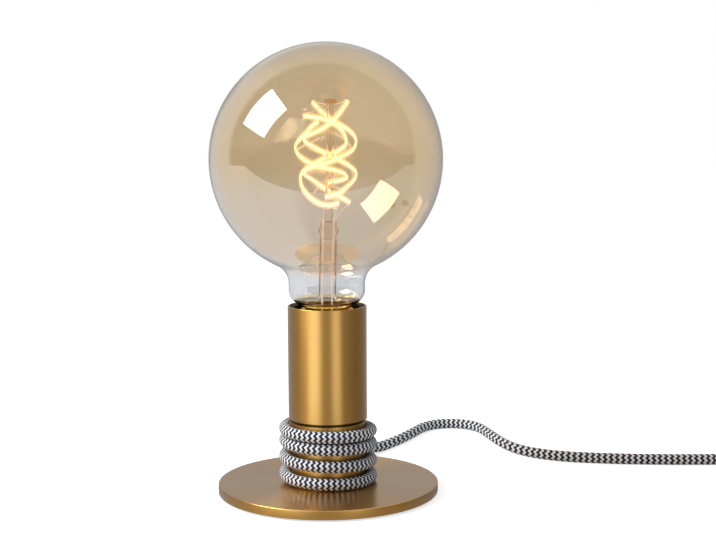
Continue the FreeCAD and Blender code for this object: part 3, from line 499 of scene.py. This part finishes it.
def makeGlow():
    # Lit filament: phosphor grains over a bright core, warmer at the strip's two edges.
    look = glowLook
    material, tree, shader = newMaterial("filament", Roughness=0.6,
                                         Emission_Strength=look["bright"])
    marks = useGroup(tree, mottle, Large=400.0, Small=3000.0)
    across = split(tree, addNode(tree, "ShaderNodeUVMap", uv_map="along").outputs[0])[1]
    edge = calc(tree, "ABSOLUTE", calc(tree, "SINE", times(tree, across, 2 * math.pi)))
    edge = stretch(tree, edge, *look["edgeFade"], 0.0, look["edgeShare"], smooth=True)
    core = mixColour(tree, marks["Tone"], rgb(*look["core"]), rgb(*look["coreGrain"]))
    first, second = (rgb(*colour) for colour in look["grains"])
    feed(tree, shader, Base_Color=mixColour(tree, marks["Grain"], first, second),
         Emission_Color=mixColour(tree, edge, core, rgb(*look["edge"])))
    return material


def makeCoat():
    # The clear silicone over a filament, which its light fills, drawn wide so that it also paints a
    # glow round the filament. It thins out at a slant.
    look = glowLook
    material, tree, shader = newMaterial("filamentCoat", Roughness=0.5,
                                         Emission_Strength=look["coatBright"])
    marks = useGroup(tree, mottle, Large=300.0, Small=2000.0)
    first, second = (rgb(*colour) for colour in look["silicone"])
    feed(tree, shader,
         Alpha=stretch(tree, slantOf(tree), *look["coatFade"], look["coatAlpha"], 0.0, smooth=True),
         Base_Color=mixColour(tree, marks["Tone"], first, second),
         Emission_Color=mixColour(tree, marks["Grain"], rgb(*look["coat"]),
                                  rgb(*look["coatGrain"])))
    return material


stemTints, stemFades = stemLook["tints"], stemLook["fades"]
coatFinish = makeCoat()
pinchGlass = makeGlass("pinchGlass", *[stemLook["pinch"]] * 3, *stemFades, stemLook["pinchIor"])
buttonGlass = makeGlass("buttonGlass", *[stemLook["button"]] * 3, (0, 1), (0, 1),
                        stemLook["buttonIor"])
finishes = {
    "felt": makeFelt((0.06, 0.06, 0.06), (0.012, 0.012, 0.012)),
    "brass": makeBrass(),
    "steel": makePlain("steel", (0.66, 0.66, 0.64), (0.52, 0.52, 0.50), 0.32, metallic=1.0),
    "black_plastic": makePlain("blackPlastic", (0.022, 0.022, 0.024), (0.012, 0.012, 0.013), 0.42),
    "phenolic": makePlain("phenolic", (0.010, 0.009, 0.009), (0.005, 0.005, 0.005), 0.45,
                          Specular_IOR_Level=0.15),
    "steatite": makePlain("steatite", (0.86, 0.84, 0.78), (0.76, 0.73, 0.66), 0.35),
    "contact_brass": makePlain("contactBrass", (0.86, 0.66, 0.26), (0.74, 0.54, 0.18), 0.2,
                               metallic=1.0, large=120.0),
    "brown_core": makePlain("brownCore", (0.24, 0.11, 0.05), (0.18, 0.08, 0.035), 0.45),
    "blue_core": makePlain("blueCore", (0.06, 0.18, 0.52), (0.04, 0.13, 0.42), 0.45),
    "textile": makeBraid(),
    "cap_metal": makePlain("capMetal", (0.82, 0.66, 0.26), (0.70, 0.55, 0.20), 0.24, metallic=1.0),
    "amber_glass": makeGlass("amberGlass", glassLook["clear"], glassLook["pale"],
                             glassLook["amber"], glassLook["neckFade"], glassLook["paleFade"],
                             glassLook["ior"], glassLook["lipFade"]),
    "clear_glass": makeGlass("clearGlass", *stemTints, *stemFades, stemLook["ior"]),
    "black_glass": makePlain("blackGlass", (0.02, 0.02, 0.02), (0.01, 0.01, 0.01), 0.12),
    "cement": makePlain("cement", (0.72, 0.52, 0.12), (0.56, 0.38, 0.07), 0.4, bump=0.1),
    "solder": makePlain("solder", (0.66, 0.66, 0.66), (0.50, 0.50, 0.50), 0.3, metallic=1.0),
    "filament": makeGlow(),
    # Painted light: the wires glow, standing in for the filaments' light falling on them.
    "wire": makePlain("wire", (0.95, 0.84, 0.76), (0.88, 0.78, 0.70), 0.5, metallic=0.1,
                      Emission_Color=rgb(1.0, 0.90, 0.85), Emission_Strength=0.45),
    "board": makePlain("board", (0.78, 0.58, 0.16), (0.62, 0.44, 0.10), 0.4),
    "parts": makePlain("parts", (0.10, 0.09, 0.08), (0.05, 0.05, 0.05), 0.4),
}
slotOf = {part["node"]: part["material_slot"] for part in record["subparts"]}
for node, used in slotOf.items():
    nodes[node].data.materials.clear()
    nodes[node].data.materials.append(finishes[used])
print("materials made,", len(finishes))


# The turned pieces of foot, spool and sleeve.
foot = {"radius": 60.0, "bottom": 1.0, "top": 6.0, "edge": 0.55, "rings": 24, "hub": 2.0,
        "round": 256}
sleeve = {"radius": 21.4, "wall": 1.0, "bottom": 40.8, "floor": 1.5, "top": 102.8, "edge": 0.3,
          "rodHole": 5.1}
rim = {"outer": 20.1, "wall": 2.4, "bottom": 60.3, "top": 102.3, "edge": 0.8}


def makeFoot():
    # Half a section, from the middle of the underside out round the edge and in over the top.
    r, low, high = foot["radius"], foot["bottom"], foot["top"]
    edge = rounded([(0, low), (r, low), (r, high), (0, high)], foot["edge"])
    inward = np.linspace(r - 1, foot["hub"], foot["rings"])
    top = np.stack([inward, np.full(foot["rings"], high)], axis=-1)
    under = top[::-1] * (1, 0) + (0, low)
    outside = edge[5:15]  # the two corners at the rim, five points each
    disc = turned("baseDisc", np.concatenate([under, outside, top]), finishes["brass"],
                  around=foot["round"], poles=(low, high))
    place(disc, "lamp", "brass", "base_disc")


def makeSleeve():
    # The sleeve is a cup with a hole for the rod. The black rim is a ring inside its mouth.
    r, wall, low, high = (sleeve[size] for size in ("radius", "wall", "bottom", "top"))
    inner, floor, hole = r - wall, low + sleeve["floor"], sleeve["rodHole"]
    profile = rounded([(hole, low), (r, low), (r, high), (inner, high), (inner, floor),
                       (hole, floor)], sleeve["edge"])
    place(turned("holderSleeve", profile, finishes["brass"]), "lamp", "brass", "holder_sleeve")
    r, wall, low, high = (rim[size] for size in ("outer", "wall", "bottom", "top"))
    profile = rounded([(r - wall, low), (r, low), (r, high), (r - wall, high)], rim["edge"])
    place(turned("holderRim", profile, finishes["phenolic"]), "lamp", "phenolic", "holder_skirt")


makeFoot()
makeSleeve()
for name, node in (("spoolTube", "spool_tube"), ("cordBushing", "cord_bushing"),
                   ("screwShell", "screw_shell"), ("padUnder", "base_pad")):
    carryOver(name, node, "lamp")
print("foot, spool and sleeve made")


# The bulb. A filament's course is (middle, across, deep, [(angle, height over the base)]).
bulb = {"globe": 62.5, "centre": 181.2, "glass": 0.9, "neck": 20.7, "fillet": 11.0, "shoulder": 8.0,
        "shoulderHeight": 111.5, "throat": 12.2, "throatBottom": 98.0, "round": 256, "rings": 120,
        "bendRings": 16, "throatRings": 4, "lastAngle": 89.2}
pinch = {"rings": 40, "round": 48, "middle": 0.86, "swell": 0.14, "closing": 5, "least": 0.0004}
filaments = {"base": 102.8, "wide": 1.9, "deep": 1.2, "coat": 2.2, "step": 1.5, "round": 12,
             "coatRound": 16, "courses": {
    "filament_1": (2.2, 13.9, 13.9, [
        (-46, 109.7), (-69, 102.9), (-90, 97.6), (-113, 94.4), (-151, 91.2), (-180, 89.1),
        (-222, 85.8), (-262, 81.2), (-288, 78.0), (-315, 75.0), (-360, 70.9), (-405, 65.3),
        (-435, 61.0), (-460, 59.3)]),
    "filament_2": (2.2, 13.9, 13.9, [
        (-227, 109.3), (-262, 101.6), (-291, 97.2), (-318, 93.8), (-360, 88.2), (-389, 84.0),
        (-429, 80.0), (-450, 77.8), (-473, 76.2), (-505, 74.0), (-540, 70.9), (-582, 67.6),
        (-604, 64.2), (-625, 61.0), (-649, 58.0), (-677, 54.8)]),
    "filament_3": (-1.5, 12.3, 10.9, [
        (-144, 102.0), (-90, 100.3), (-52, 96.8), (-28, 92.9), (0, 88.3), (57, 82.3), (118, 75.8),
        (180, 69.0), (211, 63.4), (242, 58.2), (264, 55.6), (288, 54.9), (312, 56.0)]),
    "filament_4": (-2.6, 13.7, 9.6, [
        (97, 98.8), (110, 96.6), (130, 92.2), (154, 88.5), (180, 85.5), (218, 80.3), (241, 77.6),
        (263, 75.4), (302, 73.3), (332, 71.4), (360, 69.1), (400, 67.2), (438, 65.6)]),
}}


def globeWall(inset):
    # The bulb's outline, moved in by inset: up the throat, then the arcs of shoulder, fillet and
    # globe, nearly to the top. A short straight neck lies between shoulder and fillet.
    globe, fillet = bulb["globe"] - inset, bulb["fillet"] + inset
    shoulder, throat = bulb["shoulder"] - inset, bulb["throat"] - inset
    filletX = bulb["neck"] + bulb["fillet"]
    drop = math.sqrt((bulb["globe"] + bulb["fillet"]) ** 2 - filletX ** 2)
    meet = -math.degrees(math.atan2(drop, filletX))
    shoulderX, shoulderZ = bulb["neck"] - bulb["shoulder"], bulb["shoulderHeight"]
    endZ = shoulderZ - math.sqrt(shoulder ** 2 - (throat - shoulderX) ** 2)
    low = math.degrees(math.atan2(endZ - shoulderZ, throat - shoulderX))
    bend, rise = bulb["bendRings"], np.linspace(bulb["throatBottom"], endZ, bulb["throatRings"] + 1)
    return np.concatenate([
        np.stack([np.full(len(rise) - 1, throat), rise[:-1]], axis=-1),
        arc((shoulderX, shoulderZ), shoulder, low, 0, bend),
        arc((filletX, bulb["centre"] - drop), fillet, 180, meet + 180, bend),
        arc((0, bulb["centre"]), globe, meet, bulb["lastAngle"], bulb["rings"])[1:]])


def makeGlobe():
    # Down the inner wall and up the outer one. Each (r, z) turns to (r cos a, r sin a, z).
    outer, inner = globeWall(0), globeWall(bulb["glass"])
    angle = np.linspace(0, 2 * np.pi, bulb["round"], endpoint=False)
    r, z = (np.concatenate([inner[::-1], outer]) * mm).T[..., None]
    points = np.stack([r * np.cos(angle), r * np.sin(angle), z + 0 * angle], axis=-1)
    top = (bulb["centre"] + bulb["globe"]) * mm
    piece = gridMesh("bulbGlobe", points, finishes["amber_glass"],
                     capLow=(0, 0, top - bulb["glass"] * mm), capHigh=(0, 0, top))
    place(piece, "bulb", "amber_glass", "bulb_globe")


def makePinch():
    # Two soft beads, one over the other, flat from front to back, where the lead-in wires are
    # sealed in: an ellipse whose radii follow a wave on the way up and close at both ends.
    low, high = (np.array([float(x) for x in corner]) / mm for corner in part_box("stem_pinch"))
    t = np.linspace(0, 1, pinch["rings"])
    wave = np.sin(2 * np.pi * t - np.pi / 2) * (1 - 2 * np.abs(t - 0.5)) ** 0.5
    ends = pinch["closing"] * np.sqrt(np.clip(t * (1 - t), pinch["least"], None))
    beads = (pinch["middle"] + pinch["swell"] * wave) * np.minimum(1, ends)
    (x, y, _), (wide, deep, _) = (low + high) / 2, (high - low) / 2
    a = np.linspace(0, 2 * np.pi, pinch["round"], endpoint=False)
    rise = low[2] + (high[2] - low[2]) * t
    points = np.stack([x + wide * beads[:, None] * np.cos(a), y + deep * beads[:, None] * np.sin(a),
                       rise[:, None] + 0 * a], axis=-1)
    piece = gridMesh("stemPinch", points * mm, pinchGlass, capLow=(x * mm, y * mm, low[2] * mm),
                     capHigh=(x * mm, y * mm, high[2] * mm))
    place(piece, "bulb", "clear_glass", "stem_pinch")


def makeFilament(name, middle, across, deep, keys):
    # The turn is an ellipse of radii across and deep. Height runs through the keys on cubics,
    # with the mean of the slopes before and after each key.
    angles, heights = np.array(keys, dtype=float).T
    slopes = np.diff(heights) / np.diff(angles)
    tangents = np.concatenate([slopes[:1], (slopes[1:] + slopes[:-1]) / 2, slopes[-1:]])
    a = np.arange(angles[0], angles[-1], math.copysign(filaments["step"], angles[-1] - angles[0]))
    a = np.append(a, angles[-1])
    order = 1 if angles[-1] > angles[0] else -1
    span = np.searchsorted(angles * order, a * order, side="right") - 1
    span = np.clip(span, 0, len(slopes) - 1)
    width = angles[span + 1] - angles[span]
    t = (a - angles[span]) / width
    z = ((2 * t ** 3 - 3 * t ** 2 + 1) * heights[span]
         + (t ** 3 - 2 * t ** 2 + t) * width * tangents[span]
         + (3 * t ** 2 - 2 * t ** 3) * heights[span + 1]
         + (t ** 3 - t ** 2) * width * tangents[span + 1])
    c, s = np.cos(np.radians(a)), np.sin(np.radians(a))
    path = np.stack([middle + across * c, deep * s, filaments["base"] + z], axis=-1)
    outward = np.stack([c, s, 0 * c], axis=-1)
    for made, grow, finish, count, covers in (
            (name.replace("_", "Lit"), 1.0, finishes["filament"], filaments["round"], [name]),
            (name.replace("_", "Coat"), filaments["coat"], coatFinish, filaments["coatRound"], [])):
        section = roundSection(filaments["deep"] * grow / 2, filaments["wide"] * grow / 2, count)
        piece = carried(made, path, section, finish, side=outward,
                        uvAlong=np.linspace(0, 1, len(path)))
        place(piece, "bulb", "filament", *covers)


makeGlobe()
makePinch()
for name, (middle, across, deep, keys) in filaments["courses"].items():
    makeFilament(name, middle, across, deep, keys)
for name, node in (("bulbCap", "bulb_cap"), ("bulbStem", "bulb_stem"), ("stemRod", "stem_rod"),
                   ("stemButton", "stem_button"), ("bulbCement", "bulb_cement"),
                   ("filamentWires", "filament_wires"), ("leadInWires", "lead_in_wires")):
    carryOver(name, node, "bulb", buttonGlass if name == "stemButton" else None)
print("bulb made")


# The cord. Its spline cuts inside its points, so a ring's points lie at its radius over bend.
cord = {"radius": 3.1, "ring": 1.7, "round": 24, "spoolRadius": 23.65, "bend": 0.99,
        "leadBend": 0.98, "knot": 15.0, "exit": (4.4, 20.0, 10.6),
        "switchExit": (316.4, -30.5, 5.6), "fine": 16}
# On the open run, from beyond to before mm off the axis, the braid counts only a share of its
# length, from least to most, and so its zigzags are drawn out.
drawn = {"beyond": 25.0, "before": 250.0, "fade": 20.0, "least": 0.48, "most": 0.80, "blur": 6}
lead = {"centre": (-2.197, 12.458), "radius": 11.0, "turned": -50.0, "angles": (200, 170, 140, 115),
        "height": 10.6}
windingHeights = [  # angle round the spool, falling as the cord runs clockwise, and height there
    (50, 10.6), (20, 9.6), (0, 9.1), (-40, 9.1), (-90, 9.8), (-135, 10.2), (-180, 10.5),
    (-225, 12.9), (-270, 16.2), (-315, 17.4), (-360, 17.7), (-450, 19.2), (-540, 20.3),
    (-585, 22.0), (-630, 24.6), (-675, 26.3), (-720, 27.0), (-810, 28.4), (-900, 29.3),
    (-945, 30.3), (-990, 32.0), (-1035, 33.4), (-1080, 34.2), (-1170, 35.2), (-1260, 35.8),
    (-1290, 36.0)]
cordRun = [
    (-20.6, 11.9, 36.0), (-12.0, 26.6, 35.4), (-3.2, 42.0, 30.5), (6.8, 57.0, 19.5),
    (16.8, 70.5, 7.4), (27.6, 84.5, 3.1), (40.0, 103.0, 3.1), (50.5, 123.5, 3.1),
    (59.0, 143.0, 3.1), (70.5, 151.6, 3.1), (84.5, 150.6, 3.1), (94.5, 141.0, 3.1),
    (99.5, 121.5, 3.1), (104.5, 99.0, 3.1), (114.0, 77.0, 3.1), (134.0, 62.5, 3.1),
    (162.0, 56.5, 3.1), (192.0, 53.6, 3.1), (224.0, 53.0, 3.1), (255.0, 54.4, 3.3),
    (285.0, 54.0, 3.6)]
coil = {"centre": (285.0, 91.1), "start": -90, "end": 990,  # radius and height by angle
        "radius": [(-90, 37.1), (210, 37.1), (270, 30.9), (540, 30.9), (600, 34.0), (990, 34.0)],
        "height": [(-90, 3.6), (530, 3.6), (600, 9.0), (990, 9.0)]}
cordLink = [(285.0, 57.1, 9.0), (298.0, 57.3, 8.6), (309.6, 51.0, 7.0), (316.4, 39.6, 5.8),
            (316.4, 26.5, 5.6)]
cordTail = [(316.4, -30.5, 5.6), (316.4, -62.4, 5.2), (310.4, -72.8, 5.6), (299.8, -78.6, 6.85),
            (287.8, -78.6, 6.85)]


def ringPoints(centre, angles, radius, height):
    # Points on a circle round the centre, each at its own height.
    a = np.radians(angles)
    return np.stack([centre[0] + radius * np.cos(a), centre[1] + radius * np.sin(a),
                     height + 0 * a], axis=-1)


def mainControls():
    # The whole route's control points: lead, turns on the spool, run, turns of the coil, link.
    start = ringPoints(lead["centre"], lead["angles"], lead["radius"] / cord["leadBend"],
                       lead["height"])
    t = math.radians(lead["turned"])
    spin = np.array([[math.cos(t), math.sin(t), 0], [-math.sin(t), math.cos(t), 0], [0, 0, 1]])
    angle, height = np.array(windingHeights, dtype=float).T
    turns = np.arange(angle[0], angle[-1] + cord["knot"], -cord["knot"])
    wound = ringPoints((0, 0), turns, cord["spoolRadius"] / cord["bend"],
                       np.interp(-turns, -angle, height))
    loops = np.arange(coil["start"] + cord["knot"], coil["end"], cord["knot"])
    radius = np.interp(loops, *np.array(coil["radius"], dtype=float).T)
    rise = np.interp(loops, *np.array(coil["height"], dtype=float).T)
    looped = ringPoints(coil["centre"], loops, radius / cord["bend"], rise)
    return np.concatenate([start @ spin, wound, np.array(cordRun), looped, np.array(cordLink)])


def splinePath(name, controls):
    # Points of the NURBS line through the controls, evenly spaced.
    curve = bpy.data.curves.new(name, "CURVE")
    curve.dimensions, curve.resolution_u = "3D", cord["fine"]
    spline = curve.splines.new("NURBS")
    spline.points.add(len(controls) - 1)
    weighted = np.column_stack([controls * mm, np.ones(len(controls))])
    spline.points.foreach_set("co", weighted.ravel())
    spline.order_u = 3
    spline.use_endpoint_u = True
    obj = bpy.data.objects.new(name, curve)
    bpy.context.collection.objects.link(obj)
    bpy.context.view_layer.update()
    seen = obj.evaluated_get(bpy.context.evaluated_depsgraph_get())
    mesh = bpy.data.meshes.new_from_object(seen)
    line = np.empty(len(mesh.vertices) * 3)
    mesh.vertices.foreach_get("co", line)
    line = line.reshape(-1, 3)
    bpy.data.objects.remove(obj)
    bpy.data.curves.remove(curve)
    bpy.data.meshes.remove(mesh)
    gone = np.concatenate([[0.0], np.cumsum(np.linalg.norm(np.diff(line, axis=0), axis=1))])
    even = np.linspace(0, gone[-1], int(gone[-1] / (cord["ring"] * mm)) + 1)
    return np.stack([np.interp(even, gone, line[:, k]) for k in range(3)], axis=-1), even


def braidAlong(path, even):
    # Length along the braid: drawn out on the open run, most where the cord leads straight back.
    tangent = np.gradient(path, axis=0)
    tangent /= np.linalg.norm(tangent, axis=1, keepdims=True)
    sideways = np.clip(np.hypot(tangent[:, 0], tangent[:, 2]), drawn["least"], drawn["most"])
    away = np.hypot(path[:, 0], path[:, 1]) / mm
    onRun = (np.clip(away - drawn["beyond"], 0, 1)
             * np.clip((drawn["before"] - away) / drawn["fade"], 0, 1))
    blur = 2 * drawn["blur"] + 1
    rate = np.pad(1 + (sideways - 1) * onRun, drawn["blur"], mode="edge")
    rate = np.convolve(rate, np.ones(blur) / blur, mode="valid")
    return np.concatenate([[0.0], np.cumsum(np.diff(even) * (rate[1:] + rate[:-1]) / 2)])


def makeCord(name, controls, covers):
    path, even = splinePath(name, controls)
    section = roundSection(cord["radius"] * mm, cord["radius"] * mm, cord["round"])
    piece = carried(name, path, section, finishes["textile"], unit=1.0,
                    uvAlong=braidAlong(path, even))
    place(piece, "lamp", "textile", *covers)


switchPieces = [carryOver(name, node, "lamp") for name, node in (
    ("switchBase", "switch_base"), ("switchCover", "switch_cover"), ("coilTie", "coil_tie"))]
plugPieces = [carryOver(name, node, "lamp") for name, node in (
    ("plugBody", "plug_body"), ("plugPins", "plug_pins"), ("pinSheaths", "pin_sheaths"))]
switchPieces += [carryOver("switchRocker", "switch_rocker", "rocker"), nodes["switch_screws"]]
makeCord("cordMain", mainControls(),
         ("cord_lead", "cord_winding", "cord_run", "cord_coil", "cord_link"))
makeCord("cordTail", np.array(cordTail), ("cord_tail",))
print("cord made")


# Table, world and lights. Levels are brightnesses, where 1 is white.
table = {"left": -3000, "right": 3000, "front": -355, "back": 4000, "colour": 0.82, "glow": 0.66,
         "inGlass": (1.0, 1.03, 1.1)}
room = {"ambient": 0.45, "bounce": 0.3}
glassSees = {"front": 0.06, "frontHigh": 0.18, "backMiddle": 0.45, "backRight": 0.45,
             "backHigh": 0.80, "overhead": 0.55, "rear": (0.07, 0.99, -0.13),
             "rearFade": (0.10, 0.27), "ceilingSlope": 0.19, "ceilingFade": (0.135, 0.175),
             "asideFade": (0.3, 0.6), "levelFade": (0.15, 0.4), "rightFade": (-0.2, 0.5),
             "highFade": (0.35, 0.65)}
metalSees = {"level": 0.26, "left": 0.06, "front": 0.13, "back": 0.16, "backPower": 6.0,
             "top": 0.75, "topFade": (0.5, 0.9), "stripeTint": (1.0, 1.2, 1.5),
             "stripeFade": (0.40, 0.75), "nearFade": (70, 160)}
stripes = [  # tall bright bands that brushed metal mirrors
    {"azimuth": -127, "half": 17, "edge": 12, "bright": 0.98},
    {"azimuth": -63, "half": 12, "edge": 9, "bright": 0.62}]


def makeGlassRoom():
    # What glass mirrors behind the lamp, by direction: pale to the left and darker straight
    # behind, to the right and high up.
    look = glassSees
    tree, given, out = newGroup("glassRoom", {"Way": ("NodeSocketVector", None)},
                                {"Level": "NodeSocketFloat"})
    x, _, z = split(tree, given["Way"])
    aside = stretch(tree, calc(tree, "ABSOLUTE", x), *look["asideFade"], smooth=True)
    off = calc(tree, "MAXIMUM", aside,
               stretch(tree, calc(tree, "ABSOLUTE", z), *look["levelFade"], smooth=True))
    bright = stretch(tree, x, *look["rightFade"], look["backHigh"], look["backRight"], smooth=True)
    above = times(tree, stretch(tree, z, *look["highFade"], smooth=True),
                  calc(tree, "SUBTRACT", 1.0, aside))
    bright = mixValue(tree, above, bright, look["overhead"])
    tree.links.new(mixValue(tree, off, look["backMiddle"], bright), out["Level"])
    return tree


def makeMetalRoom():
    # What brushed metal mirrors of the room, by direction: brighter to the left, in front,
    # straight behind and overhead, with the two stripes in front, which are cooler.
    look = metalSees
    tree, given, out = newGroup("metalRoom", {
        "Way": ("NodeSocketVector", None), "Stripes": ("NodeSocketFloat", 1.0)},
        {"Level": "NodeSocketFloat", "Tint": "NodeSocketColor"})
    x, y, z = split(tree, given["Way"])
    behind = calc(tree, "POWER", calc(tree, "MAXIMUM", y, 0.0), look["backPower"])
    before = calc(tree, "MAXIMUM", times(tree, y, -1.0), 0.0)
    level = calc(tree, "MULTIPLY_ADD", x, -look["left"], look["level"])
    level = calc(tree, "MULTIPLY_ADD", before, look["front"], level)
    level = calc(tree, "MULTIPLY_ADD", behind, look["back"], level)
    level = calc(tree, "ADD", level, stretch(tree, z, *look["topFade"], 0.0, look["top"],
                                             smooth=True))
    plain, azimuth = level, calc(tree, "DEGREES", calc(tree, "ARCTAN2", y, x))
    low = times(tree, stretch(tree, z, *look["stripeFade"], 1.0, 0.0, smooth=True),
                given["Stripes"])
    for band in stripes:
        off = apart(tree, azimuth, float(band["azimuth"]))
        lit = stretch(tree, off, band["half"] - band["edge"], band["half"] + band["edge"],
                      band["bright"], 0.0, smooth=True)
        level = calc(tree, "MULTIPLY_ADD", lit, low, level)
    share = calc(tree, "SUBTRACT", 1.0, calc(tree, "DIVIDE", plain, level))
    tree.links.new(level, out["Level"])
    tree.links.new(mixColour(tree, share, rgb(1, 1, 1), rgb(*look["stripeTint"])), out["Tint"])
    return tree


metalRoom = makeMetalRoom()
glassRoom = makeGlassRoom()


def roomAt(tree, group, way, stripesShown=None):
    node = addNode(tree, "ShaderNodeGroup", node_tree=group)
    tree.links.new(way, node.inputs["Way"])
    if stripesShown:
        tree.links.new(stripesShown, node.inputs["Stripes"])
    return node.outputs


def mirrorRays(tree):
    # 1 for a ray off glass, 1 for a ray off brushed metal, and the light path's own outputs.
    rays = addNode(tree, "ShaderNodeLightPath").outputs
    mirrored = calc(tree, "GREATER_THAN", rays["Glossy Depth"], 0.5)
    offMetal = times(tree, mirrored, calc(tree, "SUBTRACT", 1.0, rays["Is Singular Ray"]))
    return calc(tree, "SUBTRACT", mirrored, offMetal), offMetal, mirrored, rays


def offCord(tree, rays, level):
    # Dimmer where the ray left a matt surface, as the foot's light on the cord's underside.
    return times(tree, level, stretch(tree, rays["Diffuse Depth"], 0.0, 1.0, 1.0, room["bounce"]))


def makeTable():
    # Diffuse top. What the camera or clear glass sees of it is lifted to white, its shadow kept.
    left, right, front, back = (table[side] * mm for side in ("left", "right", "front", "back"))
    mesh = bpy.data.meshes.new("table")
    mesh.from_pydata([(left, front, 0), (right, front, 0), (right, back, 0), (left, back, 0)], [],
                     [(0, 1, 2, 3)])
    material, tree, shader = newMaterial("table", Roughness=0.9, Specular_IOR_Level=0.1,
                                         Base_Color=rgb(*[table["colour"]] * 3),
                                         Emission_Color=rgb(1, 1, 1))
    offGlass, offMetal, mirrored, rays = mirrorRays(tree)
    through = times(tree, rays["Is Transmission Ray"], calc(tree, "SUBTRACT", 1.0, mirrored))
    feed(tree, shader, Emission_Strength=times(tree, rays["Is Camera Ray"], table["glow"]))
    white = addNode(tree, "ShaderNodeEmission", {0: rgb(1, 1, 1), 1: 1.0})
    where = objectPlace(tree)
    way = addNode(tree, "ShaderNodeVectorMath", {0: where}, operation="NORMALIZE").outputs[0]
    away = addNode(tree, "ShaderNodeVectorMath", {0: where}, operation="LENGTH").outputs["Value"]
    near, far = (distance * mm for distance in metalSees["nearFade"])
    brushed = roomAt(tree, metalRoom, way, stretch(tree, away, near, far, smooth=True))
    inGlass = addNode(tree, "ShaderNodeEmission", {
        0: rgb(*table["inGlass"]), 1: roomAt(tree, glassRoom, way)["Level"]})
    inMetal = addNode(tree, "ShaderNodeEmission", {
        0: brushed["Tint"], 1: offCord(tree, rays, brushed["Level"])})
    shown = shader.outputs[0]
    for amount, other in ((through, white), (offGlass, inGlass), (offMetal, inMetal)):
        shown = addNode(tree, "ShaderNodeMixShader", {0: amount, 1: shown,
                                                      2: other.outputs[0]}).outputs[0]
    tree.links.new(shown, tree.nodes["Material Output"].inputs["Surface"])
    finishPiece("table", mesh, material)


def makeWorld():
    # White to the camera and through clear glass. A mirror sees a pale back and a dark front.
    look = glassSees
    world = bpy.data.worlds.new("room")
    world.use_nodes = True
    tree = world.node_tree
    way = addNode(tree, "ShaderNodeTexCoord").outputs["Generated"]
    _, y, z = split(tree, way)
    rear = addNode(tree, "ShaderNodeVectorMath", {0: way, 1: look["rear"]},
                   operation="DOT_PRODUCT")
    ceiling = calc(tree, "MULTIPLY_ADD", y, look["ceilingSlope"], z)
    front = stretch(tree, ceiling, *look["ceilingFade"], look["front"], look["frontHigh"],
                    smooth=True)
    behind = stretch(tree, rear.outputs["Value"], *look["rearFade"], smooth=True)
    glassy = mixValue(tree, behind, front, roomAt(tree, glassRoom, way)["Level"])
    offGlass, offMetal, _, rays = mirrorRays(tree)
    brushed = roomAt(tree, metalRoom, way)
    seen = calc(tree, "MAXIMUM", rays["Is Camera Ray"], rays["Is Transmission Ray"])
    level = mixValue(tree, seen, room["ambient"], 1.0)
    level = mixValue(tree, offGlass, level, glassy)
    level = mixValue(tree, offMetal, level, offCord(tree, rays, brushed["Level"]))
    background = tree.nodes["Background"]
    tree.links.new(mixColour(tree, offMetal, rgb(1, 1, 1), brushed["Tint"]), background.inputs[0])
    tree.links.new(level, background.inputs[1])
    bpy.context.scene.world = world


makeTable()
makeWorld()
setCamera()
for box in softboxes:
    setSoftbox(box)
bpy.context.scene.view_settings.view_transform = "Standard"

print("scene ready")
